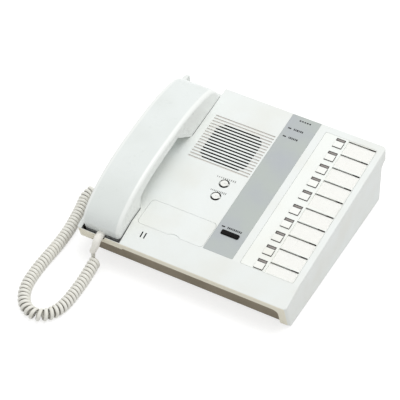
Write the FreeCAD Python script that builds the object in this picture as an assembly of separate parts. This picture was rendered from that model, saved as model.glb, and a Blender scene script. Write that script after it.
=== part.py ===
"""Desk intercom: a wedge-shaped master station with a lift-off handset, ten station keys and a curly cord.

Frame: millimetres, +Z up, Z = 0 on the desk.  X runs to the user's right, Y to the back.
The origin is the middle of the body's footprint.  Every solid is written to parts/NODE.step.
"""
import FreeCAD
import Part
import math
import os

V = FreeCAD.Vector
UP = V(0, 0, 1)
RIGHT = V(1, 0, 0)

# ---------------------------------------------------------------- driving sizes
# Body
BODY_WIDTH = 220.0
BODY_DEPTH = 210.0
FRONT_HEIGHT = 34.4          # desk to the front top edge
BEND_DEPTH = 26.0            # front slope, measured along Y
BEND_HEIGHT = 42.4
BACK_HEIGHT = 63.6
FOOT_GAP = 1.5               # desk to the underside of the shells
COVER_WALL = 3.0
SHELF_WALL = 2.2             # underside of the band along the back
SKIRT_WALL = 2.8
LIP_DROP = 7.2               # height of the front lip
BAND_DROP = 16.0             # height of the band along the back top edge
BAND_STEP = 9.0              # the lower back wall sits this far inside the band
FRONT_STEP = 15.0            # the lower front wall sits this far behind the top edge
SIDE_TOE = 4.4               # small cut-back at the foot of the side wall's front edge
WING_WIDTH = 15.0            # overhang of the left side, under the handset
WING_CLEAR = 22.0            # desk to the underside of the overhang
POST_WIDTH = 9.0             # front corner post of the right side wall
CORNER_RADIUS = 4.0
EDGE_RADIUS = 1.2
FLOOR = 2.5                  # base tray floor and walls
FIT = 0.3                    # gap between neighbouring mouldings
FLUSH = 0.02                 # seat gap of parts that rest face to face

# Handset pockets
POCKET_WIDTH = 41.0
POCKET_EDGE = 5.0            # rim between the left edge and the pockets
MOUTH_FRONT = 1.2            # front rim of the mouthpiece pocket
MOUTH_LENGTH = 43.3
MOUTH_FLOOR = 27.4           # desk to the mouthpiece pocket's floor
EAR_LENGTH = 71.5            # back edge of the body to the front of the earpiece pocket
EAR_DEPTH = 12.0             # earpiece pocket, below the panel
POCKET_WALL = 1.8
POCKET_CORNER = 4.0

# Speaker grille
SLOT_COUNT = 16
SLOT_PITCH = 3.72
SLOT_WIDTH = 1.8
SLOT_GROOVE = 0.8            # depth of the blind slot ends
GRILLE_LEFT = 7.8            # handset pocket to the slots' left ends
GRILLE_RIGHT = 2.0           # slots' right ends to the grey strip
GRILLE_FIRST = 94.0          # bend to the first slot, along the panel
SPEAKER_LEFT = 11.7          # handset pocket to the loudspeaker
SPEAKER_OPENING = 49.0
SPEAKER_CORNER = 12.0
SPEAKER_SIZE = 57.0
SPEAKER_FLANGE = 1.6
CONE_DEPTH = 11.0
CONE_SKIN = 0.6
MAGNET_DIAMETER = 27.0
MAGNET_HEIGHT = 8.0

# Grey control strip
STRIP_RIGHT = 68.9           # right edge of the body to the strip
STRIP_WIDTH = 30.5
STRIP_START = 0.8
STRIP_BACK = 1.417           # strip to the back edge, along the panel
STRIP_THICK = 1.2
STRIP_GAP = 0.15
LAMP_LENGTH = 3.4
LAMP_WIDTH = 1.4
LAMP_INSET = 5.0             # strip's left edge to the lamp centres
LAMP_BACK = (17.6, 28.8)      # strip's back end to its two rear lamps
LAMP_FRONT = 31.6            # bend to the lamp beside the button
BUTTON_LENGTH = 18.0
BUTTON_WIDTH = 4.8
BUTTON_STATION = 25.4
BUTTON_RISE = 1.5
BUTTON_TRAVEL = 1.3

# Station keys, lamps and name cards
KEY_ROWS = 10
ROWS_BACK = 11.817           # last lamp to the back edge, along the panel
ROW_FIRST = 11.6             # bend to the first lamp, along the panel
GROUP_GAP = 1.6              # extra space between the two groups of five
KEY_RIGHT = 43.0             # right edge of the body to the key column's middle
KEY_WIDTH = 9.0
KEY_DEPTH = 7.2
KEY_OFFSET = 6.3             # lamp centre to key centre
KEY_GAP = 0.4
KEY_RISE = 1.3
KEY_TRAVEL = 1.2
KEY_FLANGE = 0.9
KEY_SKIRT = 5.4              # panel surface to the underside of the key
LENS_WIDTH = 9.6
LENS_DEPTH = 3.6
PANEL_LEFT = 60.6            # right edge of the body to the key panel's left edge
PANEL_RIGHT = 6.4
PANEL_START = 0.8
PANEL_REST = 3.6             # last lamp to the key panel's back edge
PANEL_THICK = 1.6
PANEL_CORNER = 2.0
CARD_LEFT = 35.8             # right edge of the body to the name cards
CARD_WIDTH = 28.9
CARD_GAP = 2.4               # bar between neighbouring name cards
CARD_BACK = 1.6              # lamp centre to the back edge of the card window
CARD_SLOT = 1.1
CARD_MARGIN = 0.8            # front rim of the key panel before the first card
CARD_THICK = 0.3
WINDOW_THICK = 0.7

# Volume knobs
KNOB_LEFT = 18.7             # knobs' axis to the grey strip
KNOB_STATIONS = (77.1, 60.2)
KNOB_DIAMETER = 7.8
KNOB_WELL = 10.4
KNOB_WELL_DEPTH = 1.8
KNOB_RISE = 0.8
KNOB_FLOOR_GAP = 0.2
POINTER_WIDTH = 1.7
SHAFT_DIAMETER = 3.0
SHAFT_CLEAR = 0.08
POT_SIZE = 9.5
POT_HEIGHT = 5.0

# Blank cover plate, front left
PLATE_MARGIN = 4.5           # handset pocket to the plate
PLATE_END = 31.2
PLATE_START = 0.6
PLATE_THICK = 1.6
PLATE_GAP = 0.25
PLATE_CORNER = 4.0

# Microphone in the body
MIC_LEFT = 16.85             # handset pocket to the middle of the two slots
MIC_SLOT_PITCH = 3.7
MIC_SLOT_START = -12.6       # along the front slope, from the bend
MIC_SLOT_LENGTH = 6.3
MIC_SLOT_WIDTH = 1.3
MIC_DIAMETER = 9.7
MIC_HEIGHT = 5.5
MIC_RUBBER = 1.4

# Circuit boards
BOARD_THICK = 1.6
KEY_BOARD_DEPTH = 10.0       # panel surface to the key board
MAIN_BOARD_DEPTH = 14.0
SWITCH_SIZE = 6.0
LED_DIAMETER = 3.0
BOSS_DIAMETER = 6.0
SCREW_DIAMETER = 3.0
BOARD_SCREW = 2.5
SCREW_HEAD = 5.6
SCREW_HEAD_HEIGHT = 2.0

# Handset
HANDSET_SIDE = 0.7           # handset to the side walls of its pockets, at FLARE_START
HANDSET_FLARE = 0.03         # half width gained per millimetre above FLARE_START
FLARE_START = 50.0
HANDSET_WALL = 2.2
HANDSET_RIDGE = 3.6
HANDSET_EDGE = 1.4           # lower edges of the handle and the earpiece's front corners
REST_GAP = 0.3               # caps to the pocket floors
CAP_CLEAR = 2.6              # mouthpiece to the pocket's front wall
EAR_BACK = 11.0              # handset's heel to the back edge of the body

# Curly cord
COIL_DIAMETER = 12.0
CORD_DIAMETER = 4.4
BOOT_TOP = 8.0
BOOT_TIP = 6.6
BOOT_CLEAR = 1.0             # boot to its notch in the housing's front rim
BOOT_DIP = 0.4               # notch below the boot's own height, where the boot bends down

# Hook switch
HOOK_TRAVEL = 3.5
HOOK_WIDTH = 9.0
HOOK_DEPTH = 6.0
HOOK_CLEAR = 0.4

# ---------------------------------------------------------------- derived places
LEFT = -BODY_WIDTH / 2
RIGHT_X = BODY_WIDTH / 2
FRONT = -BODY_DEPTH / 2
BACK = BODY_DEPTH / 2
BEND_Y = FRONT + BEND_DEPTH
PANEL_ANGLE = math.atan2(BACK_HEIGHT - BEND_HEIGHT, BACK - BEND_Y)
SLOPE_ANGLE = math.atan2(BEND_HEIGHT - FRONT_HEIGHT, BEND_DEPTH)
PANEL_LENGTH = math.hypot(BACK_HEIGHT - BEND_HEIGHT, BACK - BEND_Y)
BASE_LEFT = LEFT + WING_WIDTH
BASE_FRONT = FRONT + FRONT_STEP
BASE_BACK = BACK - BAND_STEP
STRIP_X0 = RIGHT_X - STRIP_RIGHT - STRIP_WIDTH
STRIP_MIDDLE = STRIP_X0 + STRIP_WIDTH / 2
LAMP_X = STRIP_X0 + LAMP_INSET
POCKET_X0 = LEFT + POCKET_EDGE
POCKET_X1 = POCKET_X0 + POCKET_WIDTH
PANEL_X0 = RIGHT_X - PANEL_LEFT
PANEL_X1 = RIGHT_X - PANEL_RIGHT
CARD_X0 = RIGHT_X - CARD_LEFT
PLATE_LEFT = POCKET_X1 + PLATE_MARGIN
PLATE_RIGHT = STRIP_X0 - 1.0
HANDSET_X = (POCKET_X0 + POCKET_X1) / 2
HANDSET_HALF = POCKET_WIDTH / 2 - HANDSET_SIDE
MIC_X = POCKET_X1 + MIC_LEFT
MIC_SLOT_X = (MIC_X - MIC_SLOT_PITCH / 2, MIC_X + MIC_SLOT_PITCH / 2)
GRILLE_X0 = POCKET_X1 + GRILLE_LEFT
GRILLE_X1 = STRIP_X0 - GRILLE_RIGHT
SPEAKER_X = POCKET_X1 + SPEAKER_LEFT + SPEAKER_SIZE / 2
KNOB_X = STRIP_X0 - KNOB_LEFT
KEY_X = RIGHT_X - KEY_RIGHT
STRIP_LENGTH = PANEL_LENGTH - STRIP_START - STRIP_BACK
STRIP_END = STRIP_START + STRIP_LENGTH
LAMP_STATIONS = (STRIP_END - LAMP_BACK[0], STRIP_END - LAMP_BACK[1], LAMP_FRONT)
ROW_PITCH = (PANEL_LENGTH - ROWS_BACK - ROW_FIRST - GROUP_GAP) / (KEY_ROWS - 1)
PANEL_END = PANEL_LENGTH - ROWS_BACK + PANEL_REST
CARD_LENGTH = ROW_PITCH - CARD_GAP

PANEL = FreeCAD.Placement(V(0, BEND_Y, BEND_HEIGHT),
                          FreeCAD.Rotation(RIGHT, math.degrees(PANEL_ANGLE)))
SLOPE = FreeCAD.Placement(V(0, BEND_Y, BEND_HEIGHT),
                          FreeCAD.Rotation(RIGHT, math.degrees(SLOPE_ANGLE)))


def row_station(row):
    """Distance of a row's lamp from the bend; row 0 is nearest the user."""
    return ROW_FIRST + row * ROW_PITCH + (GROUP_GAP if row >= KEY_ROWS // 2 else 0.0)


# ---------------------------------------------------------------- solids
def block(x0, x1, y0, y1, z0, z1):
    """Axis-aligned box between the given limits."""
    return Part.makeBox(x1 - x0, y1 - y0, z1 - z0, V(x0, y0, z0))


def cylinder(x, y, z0, z1, diameter):
    """Upright cylinder."""
    return Part.makeCylinder(diameter / 2, z1 - z0, V(x, y, z0))


def polygon_face(points):
    """Flat face through corner points."""
    return Part.Face(Part.makePolygon(list(points) + [points[0]]))


def side_prism(outline, x0, x1):
    """Side-view outline of (y, z) points, extruded along X."""
    face = polygon_face([V(x0, y, z) for y, z in outline])
    return face.extrude(V(x1 - x0, 0, 0))


def rounded_prism(x0, x1, y0, y1, z0, z1, radius):
    """Box with its four upright edges rounded."""
    solid = block(x0, x1, y0, y1, z0, z1)
    upright = [e for e in solid.Edges if abs(e.tangentAt(e.FirstParameter).z) > 0.99]
    return solid.makeFillet(radius, upright)


def placed(solid, placement):
    """Copy of a solid drawn in a local frame, set in its place on the body."""
    out = solid.copy()
    out.Placement = placement.multiply(out.Placement)
    return out


def fuse(solids):
    """One clean solid from many that touch."""
    first = solids[0]
    return (first.fuse(list(solids[1:])) if len(solids) > 1 else first).removeSplitter()


def cut(solid, tools):
    """Solid less the tools."""
    return solid.cut(list(tools)) if tools else solid


def offset_wall(outline_line, distance):
    """Line ((y, z), (y, z)) moved to its right-hand side by a distance."""
    (y0, z0), (y1, z1) = outline_line
    length = math.hypot(y1 - y0, z1 - z0)
    ny, nz = (z1 - z0) / length, -(y1 - y0) / length
    return (y0 + ny * distance, z0 + nz * distance), (y1 + ny * distance, z1 + nz * distance)


def crossing(a, b):
    """Point where two (y, z) lines cross."""
    (y1, z1), (y2, z2) = a
    (y3, z3), (y4, z4) = b
    d = (y1 - y2) * (z3 - z4) - (z1 - z2) * (y3 - y4)
    p = y1 * z2 - z1 * y2
    q = y3 * z4 - z3 * y4
    return (p * (y3 - y4) - (y1 - y2) * q) / d, (p * (z3 - z4) - (z1 - z2) * q) / d


WRITTEN = []


def write(name, solids):
    """Write one node; a list of separate solids becomes one compound."""
    if not isinstance(solids, list):
        solids = solids.Solids
    shape = Part.makeCompound(solids) if len(solids) > 1 else solids[0]
    shape.exportStep(os.path.join("parts", name + ".step"))
    WRITTEN.append((name, shape))


# ---------------------------------------------------------------- body outline
A = (FRONT, FRONT_HEIGHT)
B = (BEND_Y, BEND_HEIGHT)
C = (BACK, BACK_HEIGHT)
D = (BACK + BAND_DROP * math.sin(PANEL_ANGLE), BACK_HEIGHT - BAND_DROP * math.cos(PANEL_ANGLE))
LEAN = math.tan(SLOPE_ANGLE)


def front_y(height):
    """Y of the leaning front face at a height."""
    return FRONT + (FRONT_HEIGHT - height) * LEAN


def panel_z(y):
    """Height of the top surface at a depth."""
    if y < BEND_Y:
        return FRONT_HEIGHT + (y - FRONT) * math.tan(SLOPE_ANGLE)
    return BEND_HEIGHT + (y - BEND_Y) * math.tan(PANEL_ANGLE)


TOE_HEIGHT = FOOT_GAP + SIDE_TOE
SIDE_OUTLINE = [A, B, C, D,
                (BASE_BACK + CORNER_RADIUS, D[1]),
                (BASE_BACK, D[1] - CORNER_RADIUS),
                (BASE_BACK, FOOT_GAP),
                (front_y(FOOT_GAP) + SIDE_TOE * 0.8, FOOT_GAP),
                (front_y(TOE_HEIGHT), TOE_HEIGHT)]
LIP_Z = FRONT_HEIGHT - LIP_DROP * math.cos(SLOPE_ANGLE)
SHELF_Z = D[1]


def inner_outline(wall):
    """Side view of the hollow under the top, front and back skins."""
    front_line = offset_wall(((front_y(0.0), 0.0), A), wall)
    slope_line = offset_wall((A, B), wall)
    panel_line = offset_wall((B, C), wall)
    band_line = offset_wall((C, D), wall)
    shelf_line = ((FRONT, SHELF_Z + SHELF_WALL), (BACK, SHELF_Z + SHELF_WALL))
    ground_line = ((FRONT, -5.0), (BACK, -5.0))
    inside = BASE_BACK - FLOOR - 1.5
    return [crossing(ground_line, front_line),
            crossing(front_line, slope_line),
            crossing(slope_line, panel_line),
            crossing(panel_line, band_line),
            crossing(band_line, shelf_line),
            (inside, SHELF_Z + SHELF_WALL),
            (inside, -5.0)]


def mouth_outline(inset):
    """Side view of the mouthpiece pocket; inset < 0 gives its wall's outside."""
    top = 60.0
    front = FRONT + MOUTH_FRONT + inset
    floor = MOUTH_FLOOR + inset
    back = FRONT + MOUTH_FRONT + MOUTH_LENGTH - inset
    rim = panel_z(FRONT + MOUTH_FRONT)
    return [(front + (rim - top) * LEAN, top), (front + (rim - floor) * LEAN, floor),
            (back, floor), (back, top)]


EAR_START = (BACK - EAR_LENGTH - BEND_Y) / math.cos(PANEL_ANGLE)
EAR_END = PANEL_LENGTH + 6.0
KEY_BOARD_X0 = PANEL_X0 + 1.0
MAIN_BOARD_X1 = KEY_BOARD_X0 - 9.4
BOSSES = ((POCKET_X1 + 34.0, FRONT + 22.0), (RIGHT_X - 11.0, FRONT + 22.0),
          (POCKET_X1 + 6.5, BACK - 21.0), ((MAIN_BOARD_X1 + KEY_BOARD_X0) / 2 - 0.4, BACK - 21.0))
BOSS_FOOT = FOOT_GAP + FLOOR


def ear_pocket_tool():
    """Space of the earpiece pocket, open to the back."""
    tool = rounded_prism(POCKET_X0, POCKET_X1, EAR_START, EAR_END + POCKET_CORNER,
                         -EAR_DEPTH, 8.0, POCKET_CORNER)
    return placed(tool, PANEL)


def mouth_pocket_tool():
    """Space of the mouthpiece pocket."""
    tool = side_prism(mouth_outline(0.0), POCKET_X0, POCKET_X1)
    upright = [e for e in tool.Edges if e.Length > 15 and abs(e.tangentAt(e.FirstParameter).z) > 0.9]
    return tool.makeFillet(POCKET_CORNER, upright)


def boot_notch_tool():
    """Notch in the front rim where the cord's boot passes."""
    half = BOOT_TOP / 2 + BOOT_CLEAR
    low = BOOT_Z - BOOT_DIP
    slot = block(HANDSET_X - half, HANDSET_X + half, FRONT - 1, FRONT + MOUTH_FRONT + 4, low, BACK_HEIGHT)
    round_end = Part.makeCylinder(half, MOUTH_FRONT + 5, V(HANDSET_X, FRONT - 1, low), V(0, 1, 0))
    return fuse([slot, round_end])


def speaker_half_length(station):
    """Half length of the through slot at a distance from the speaker opening's middle."""
    half = SPEAKER_OPENING / 2
    inside = half - abs(station)
    if inside <= 0:
        return 0.0
    if inside >= SPEAKER_CORNER:
        return half
    return half - SPEAKER_CORNER + math.sqrt(SPEAKER_CORNER ** 2 - (SPEAKER_CORNER - inside) ** 2)


SPEAKER_STATION = GRILLE_FIRST + SLOT_PITCH * 7.0


def grille_tools():
    """Blind grooves for the slot ends and through slots over the speaker."""
    tools = []
    for i in range(SLOT_COUNT):
        t = GRILLE_FIRST + i * SLOT_PITCH
        tools.append(block(GRILLE_X0, GRILLE_X1, t - SLOT_WIDTH / 2, t + SLOT_WIDTH / 2, -SLOT_GROOVE, 1.0))
        half = speaker_half_length(t - SPEAKER_STATION)
        if half > SLOT_WIDTH:
            tools.append(block(max(SPEAKER_X - half, GRILLE_X0), min(SPEAKER_X + half, GRILLE_X1),
                               t - SLOT_WIDTH / 2, t + SLOT_WIDTH / 2, -COVER_WALL - 0.5, 0.0))
    return [placed(t, PANEL) for t in tools]


def outer_shell():
    """Outside of the upper housing before it is hollowed."""
    solid = side_prism(SIDE_OUTLINE, LEFT, RIGHT_X)
    corners = []
    for edge in solid.Edges:
        middle = edge.valueAt((edge.FirstParameter + edge.LastParameter) / 2)
        tangent = edge.tangentAt(edge.FirstParameter)
        if abs(tangent.z) > 0.9 and middle.y < BEND_Y and middle.z > TOE_HEIGHT:
            corners.append(edge)
        if abs(tangent.z) > 0.9 and middle.y > BACK and middle.z > D[1]:
            corners.append(edge)
    solid = solid.makeFillet(CORNER_RADIUS, corners)
    rim = []
    for edge in solid.Edges:
        box = edge.BoundBox
        middle = edge.valueAt((edge.FirstParameter + edge.LastParameter) / 2)
        on_top = abs(middle.z - panel_z(middle.y)) < 0.6 and box.ZMin > FRONT_HEIGHT - 0.1
        bend = box.XLength > BODY_WIDTH / 2 and abs(middle.y - BEND_Y) < 1.0
        if on_top and not bend:
            rim.append(edge)
    return solid.makeFillet(EDGE_RADIUS, rim)


def front_recess_tool():
    """Opening under the front lip, between the overhang and the corner post."""
    tool = block(BASE_LEFT, RIGHT_X - POST_WIDTH, FRONT - 1, BASE_FRONT + FLOOR, -1.0, LIP_Z)
    top = [e for e in tool.Edges
           if abs(e.tangentAt(e.FirstParameter).y) > 0.9 and e.BoundBox.ZMin > LIP_Z - 0.1]
    return tool.makeFillet(6.0, top)


def key_column_tools():
    """Key holes and lamp light holes through the housing under the key panel."""
    tools = []
    for row in range(KEY_ROWS):
        t = row_station(row)
        half_x = KEY_WIDTH / 2 + KEY_GAP
        half_t = KEY_DEPTH / 2 + KEY_GAP
        middle = t - KEY_OFFSET
        tools.append(block(KEY_X - half_x, KEY_X + half_x, middle - half_t, middle + half_t,
                           -COVER_WALL - 1, 0.0))
        tools.append(block(KEY_X - LENS_WIDTH / 2 + 1, KEY_X + LENS_WIDTH / 2 - 1,
                           t - LENS_DEPTH / 2 + 0.6, t + LENS_DEPTH / 2 - 0.6, -COVER_WALL - 1, 0.0))
    return [placed(t, PANEL) for t in tools]


def strip_tools(through, grow=0.0):
    """Lamp holes and button hole of the grey strip, cut down to a depth."""
    tools = []
    for t in LAMP_STATIONS:
        tools.append(block(LAMP_X - LAMP_LENGTH / 2 - grow, LAMP_X + LAMP_LENGTH / 2 + grow,
                           t - LAMP_WIDTH / 2 - grow, t + LAMP_WIDTH / 2 + grow, -through, 1.0))
    half_x = BUTTON_LENGTH / 2 + KEY_GAP + grow
    half_t = BUTTON_WIDTH / 2 + KEY_GAP + grow
    tools.append(rounded_prism(STRIP_MIDDLE - half_x, STRIP_MIDDLE + half_x, BUTTON_STATION - half_t,
                               BUTTON_STATION + half_t, -through, 1.0, 1.6))
    return [placed(t, PANEL) for t in tools]


def panel_recess(x0, x1, t0, t1, depth, radius):
    """Shallow rounded recess in the sloping panel."""
    return placed(rounded_prism(x0, x1, t0, t1, -depth, 1.0, radius), PANEL)


def board_columns():
    """Columns under the skin that carry the circuit boards, and their screw holes."""
    columns = []
    holes = []
    for places, depth in ((BOARD_HOLES_KEY, KEY_BOARD_DEPTH), (BOARD_HOLES_MAIN, MAIN_BOARD_DEPTH)):
        for x, t in places:
            columns.append(Part.makeCylinder(BOSS_DIAMETER / 2, depth - COVER_WALL + 0.8, V(x, t, -depth)))
            holes.append(Part.makeCylinder(BOARD_SCREW / 2, depth - COVER_WALL, V(x, t, -depth - 0.5)))
    return [placed(c, PANEL) for c in columns], [placed(h, PANEL) for h in holes]


def speaker_ring():
    """Raised rim under the grille that the loudspeaker is screwed to, and its screw holes."""
    half = SPEAKER_SIZE / 2
    inner = SPEAKER_OPENING / 2 + 1.5
    rim = rounded_prism(SPEAKER_X - half, SPEAKER_X + half, SPEAKER_STATION - half, SPEAKER_STATION + half,
                        -SPEAKER_SEAT, -COVER_WALL + 0.8, 5.0)
    space = rounded_prism(SPEAKER_X - inner, SPEAKER_X + inner, SPEAKER_STATION - inner, SPEAKER_STATION + inner,
                          -SPEAKER_SEAT - 1, -COVER_WALL, SPEAKER_CORNER + 6.0)
    holes = []
    for i in (-1, 1):
        for j in (-1, 1):
            place = V(SPEAKER_X + i * (half - 4), SPEAKER_STATION + j * (half - 4), -SPEAKER_SEAT - 0.1)
            holes.append(Part.makeCylinder(BOARD_SCREW / 2, 3.0, place))
    return placed(cut(rim, [space]), PANEL), [placed(h, PANEL) for h in holes]


def mic_collar():
    """Collar under the front slope that grips the microphone's rubber boot."""
    x = MIC_X
    t = MIC_SLOT_START + MIC_SLOT_LENGTH / 2
    outside = Part.makeCylinder(MIC_DIAMETER / 2 + MIC_RUBBER + 1.2, 4.0, V(x, t, -COVER_WALL - 3.2))
    bore = Part.makeCylinder(MIC_DIAMETER / 2 + MIC_RUBBER + FLUSH, 8.0, V(x, t, -COVER_WALL - 8.0))
    return placed(cut(outside, [bore]), SLOPE)


def make_top_cover():
    """Upper housing: sloped top, side walls, pockets, grille and control openings."""
    outer = outer_shell()
    hollow = side_prism(inner_outline(COVER_WALL), LEFT + SKIRT_WALL, RIGHT_X - SKIRT_WALL)
    rear = block(LEFT + SKIRT_WALL, RIGHT_X - SKIRT_WALL, BASE_BACK - FLOOR - 2, BASE_BACK + CORNER_RADIUS + 1,
                 -1.0, SHELF_Z)
    wing = block(LEFT - 1, BASE_LEFT, FRONT - 1, BACK + 5, -1.0, WING_CLEAR)
    shell = cut(outer, [hollow, rear, wing, front_recess_tool()])
    wells = side_prism(mouth_outline(-POCKET_WALL), LEFT + SKIRT_WALL - 0.1, POCKET_X1 + POCKET_WALL)
    ear = placed(block(LEFT + SKIRT_WALL - 0.1, POCKET_X1 + POCKET_WALL, EAR_START - POCKET_WALL,
                       EAR_END, -EAR_DEPTH - POCKET_WALL, 0.0), PANEL)
    parts = [shell, wells.common(outer), ear.common(outer)]
    for x, y in BOSSES:
        column = cylinder(x, y, BOSS_FOOT + FIT, panel_z(y) - COVER_WALL / 2, BOSS_DIAMETER + 1.5)
        parts.append(column)
    for x in (HANDSET_X - 10.5, HANDSET_X + 10.5):
        parts.append(placed(block(x - 1.5, x + 1.5, HOOK_STATION - 4, HOOK_STATION + 4,
                                  -HOOK_SWITCH_TOP - 6.0, -EAR_DEPTH - 1.0), PANEL))
        foot = HANDSET_X + (9.6 if x > HANDSET_X else -9.6)
        parts.append(placed(block(foot - 1.4, foot + 1.4, HOOK_STATION - 4, HOOK_STATION + 4,
                                  -HOOK_SWITCH_TOP - 7.2, -HOOK_SWITCH_TOP - 6.0), PANEL))
    columns, screw_holes = board_columns()
    ring, ring_holes = speaker_ring()
    cover = fuse(parts + columns + [ring, mic_collar()])
    tools = screw_holes + ring_holes
    tools += [ear_pocket_tool(), mouth_pocket_tool(), boot_notch_tool()] + grille_tools() + key_column_tools()
    tools += strip_tools(COVER_WALL + 1, 0.2)
    tools.append(panel_recess(STRIP_X0 - STRIP_GAP, STRIP_X0 + STRIP_WIDTH + STRIP_GAP, STRIP_START - STRIP_GAP,
                              STRIP_START + STRIP_LENGTH + STRIP_GAP, STRIP_THICK, 0.8))
    tools.append(panel_recess(PANEL_X0 - PLATE_GAP, PANEL_X1 + PLATE_GAP, PANEL_START - PLATE_GAP,
                              PANEL_END + PLATE_GAP, PANEL_THICK, PANEL_CORNER))
    tools.append(panel_recess(PLATE_LEFT - PLATE_GAP, PLATE_RIGHT + PLATE_GAP, PLATE_START - PLATE_GAP,
                              PLATE_END + PLATE_GAP, PLATE_THICK, PLATE_CORNER))
    for t in KNOB_STATIONS:
        well = Part.makeCylinder(KNOB_WELL / 2, 4.0, V(KNOB_X, t, -KNOB_WELL_DEPTH))
        hole = Part.makeCylinder(SHAFT_DIAMETER / 2 + SHAFT_CLEAR, 9.0, V(KNOB_X, t, -7.0))
        tools += [placed(well, PANEL), placed(hole, PANEL)]
    for x in MIC_SLOT_X:
        tools.append(placed(block(x - MIC_SLOT_WIDTH / 2, x + MIC_SLOT_WIDTH / 2, MIC_SLOT_START,
                                  MIC_SLOT_START + MIC_SLOT_LENGTH, -COVER_WALL - 1, 1.0), SLOPE))
    tools.append(placed(rounded_prism(HANDSET_X - HOOK_WIDTH / 2 - HOOK_CLEAR, HANDSET_X + HOOK_WIDTH / 2 + HOOK_CLEAR,
                                      HOOK_STATION - HOOK_DEPTH / 2 - HOOK_CLEAR,
                                      HOOK_STATION + HOOK_DEPTH / 2 + HOOK_CLEAR,
                                      -EAR_DEPTH - POCKET_WALL - 1, -EAR_DEPTH + 1, 1.0), PANEL))
    for x, y in BOSSES:
        tools.append(cylinder(x, y, 0, BOSS_FOOT + 12.0, SCREW_DIAMETER))
    return cut(cover, tools)


# ---------------------------------------------------------------- base
HOOK_STATION = EAR_START + 14.0
HOOK_SWITCH_TOP = EAR_DEPTH + POCKET_WALL + HOOK_TRAVEL + 2.4
FEET = ((BASE_LEFT + 13.0, FRONT + 29.0), (RIGHT_X - 26.0, FRONT + 29.0),
        (BASE_LEFT + 13.0, BACK - 25.0), (RIGHT_X - 16.0, BACK - 25.0))
FOOT_DIAMETER = 13.0
FOOT_SEAT = 1.0
JACK_Y = 0.0
JACK_Z = 11.0
JACK_WIDTH = 13.0
JACK_HEIGHT = 11.0
JACK_LENGTH = 15.0
PLUG_WIDTH = 9.6
PLUG_HEIGHT = 6.6
TERMINAL_X = POCKET_X1 + 49.0
TERMINAL_LENGTH = 62.0
TERMINAL_HEIGHT = 11.0
TERMINAL_DEPTH = 14.0
TERMINALS = 12
WALL_TOP_FRONT = panel_z(BASE_FRONT) - COVER_WALL / math.cos(SLOPE_ANGLE) - FIT
WELL_BOTTOM = MOUTH_FLOOR - POCKET_WALL - FIT


def make_base_cover():
    """Lower tray: floor, recessed walls, the shoulder under the overhang, ribs and openings."""
    x1 = RIGHT_X - SKIRT_WALL - FIT
    shoulder_x = LEFT + SKIRT_WALL + FIT
    shoulder_front = front_y(WING_CLEAR) + COVER_WALL / math.cos(SLOPE_ANGLE) + FIT
    parts = [block(BASE_LEFT, x1, BASE_FRONT, BASE_BACK, FOOT_GAP, FOOT_GAP + FLOOR),
             block(POCKET_X1 + POCKET_WALL + FIT, x1, BASE_FRONT, BASE_FRONT + FLOOR, FOOT_GAP, WALL_TOP_FRONT),
             block(BASE_LEFT, POCKET_X1 + POCKET_WALL + FIT + 1, BASE_FRONT, BASE_FRONT + FLOOR,
                   FOOT_GAP, WELL_BOTTOM),
             block(BASE_LEFT, x1, BASE_BACK - FLOOR, BASE_BACK, FOOT_GAP, SHELF_Z - FIT),
             block(shoulder_x, BASE_LEFT + 1, BASE_BACK - FLOOR, BASE_BACK, WING_CLEAR, SHELF_Z - FIT),
             block(BASE_LEFT, BASE_LEFT + FLOOR, BASE_FRONT, BASE_BACK, FOOT_GAP, WING_CLEAR + FLOOR),
             block(shoulder_x, BASE_LEFT + FLOOR, shoulder_front, BASE_BACK, WING_CLEAR, WING_CLEAR + FLOOR),
             block(x1 - FLOOR, x1, BASE_FRONT, BASE_BACK, FOOT_GAP, FOOT_GAP + 12.0)]
    for y in (-45.0, 45.0):
        parts.append(block(BASE_LEFT + 1, x1 - 1, y - 0.9, y + 0.9, FOOT_GAP + FLOOR - 0.1, FOOT_GAP + FLOOR + 4.0))
    for x, y in FEET:
        parts.append(cylinder(x, y, FOOT_GAP, FOOT_GAP + FLOOR + 1.2, FOOT_DIAMETER + 4.0))
    tray = fuse(parts)
    tools = []
    for x, y in FEET:
        tools.append(cylinder(x, y, 0, FOOT_GAP + FOOT_SEAT, FOOT_DIAMETER + 0.1))
    for x, y in BOSSES:
        tools.append(cylinder(x, y, 0, FOOT_GAP + FLOOR + 1, SCREW_DIAMETER + 0.4))
        tools.append(cylinder(x, y, 0, FOOT_GAP + SCREW_HEAD_HEIGHT - 0.6, SCREW_HEAD + 0.6))
    for i in range(7):
        y = -24.0 + i * 8.0
        tools.append(rounded_prism(10.0, 44.0, y - 1.2, y + 1.2, 0, FOOT_GAP + FLOOR + 1, 1.1))
    tools.append(block(BASE_LEFT - 1, BASE_LEFT + FLOOR + 1, JACK_Y - JACK_WIDTH / 2, JACK_Y + JACK_WIDTH / 2,
                       FOOT_GAP + FLOOR, JACK_Z + JACK_HEIGHT / 2))
    boot = MIC_DIAMETER / 2 + MIC_RUBBER
    boot_floor = (BEND_HEIGHT + (MIC_SLOT_START + MIC_SLOT_LENGTH / 2) * math.sin(SLOPE_ANGLE)
                  - (COVER_WALL + FLUSH + MIC_HEIGHT + 1.0) * math.cos(SLOPE_ANGLE) - boot * math.sin(SLOPE_ANGLE))
    tools.append(block(MIC_X - boot - 1.5, MIC_X + boot + 1.5, BASE_FRONT - 1, BASE_FRONT + FLOOR + 1,
                       boot_floor - FIT, BACK_HEIGHT))
    half = TERMINAL_LENGTH / 2
    tools.append(block(TERMINAL_X - half - 1, TERMINAL_X + half + 1, BASE_BACK - FLOOR - 1, BASE_BACK + 1,
                       FOOT_GAP + FLOOR + 2, FOOT_GAP + FLOOR + 2 + TERMINAL_HEIGHT + 3))
    return cut(tray, tools)


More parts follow.
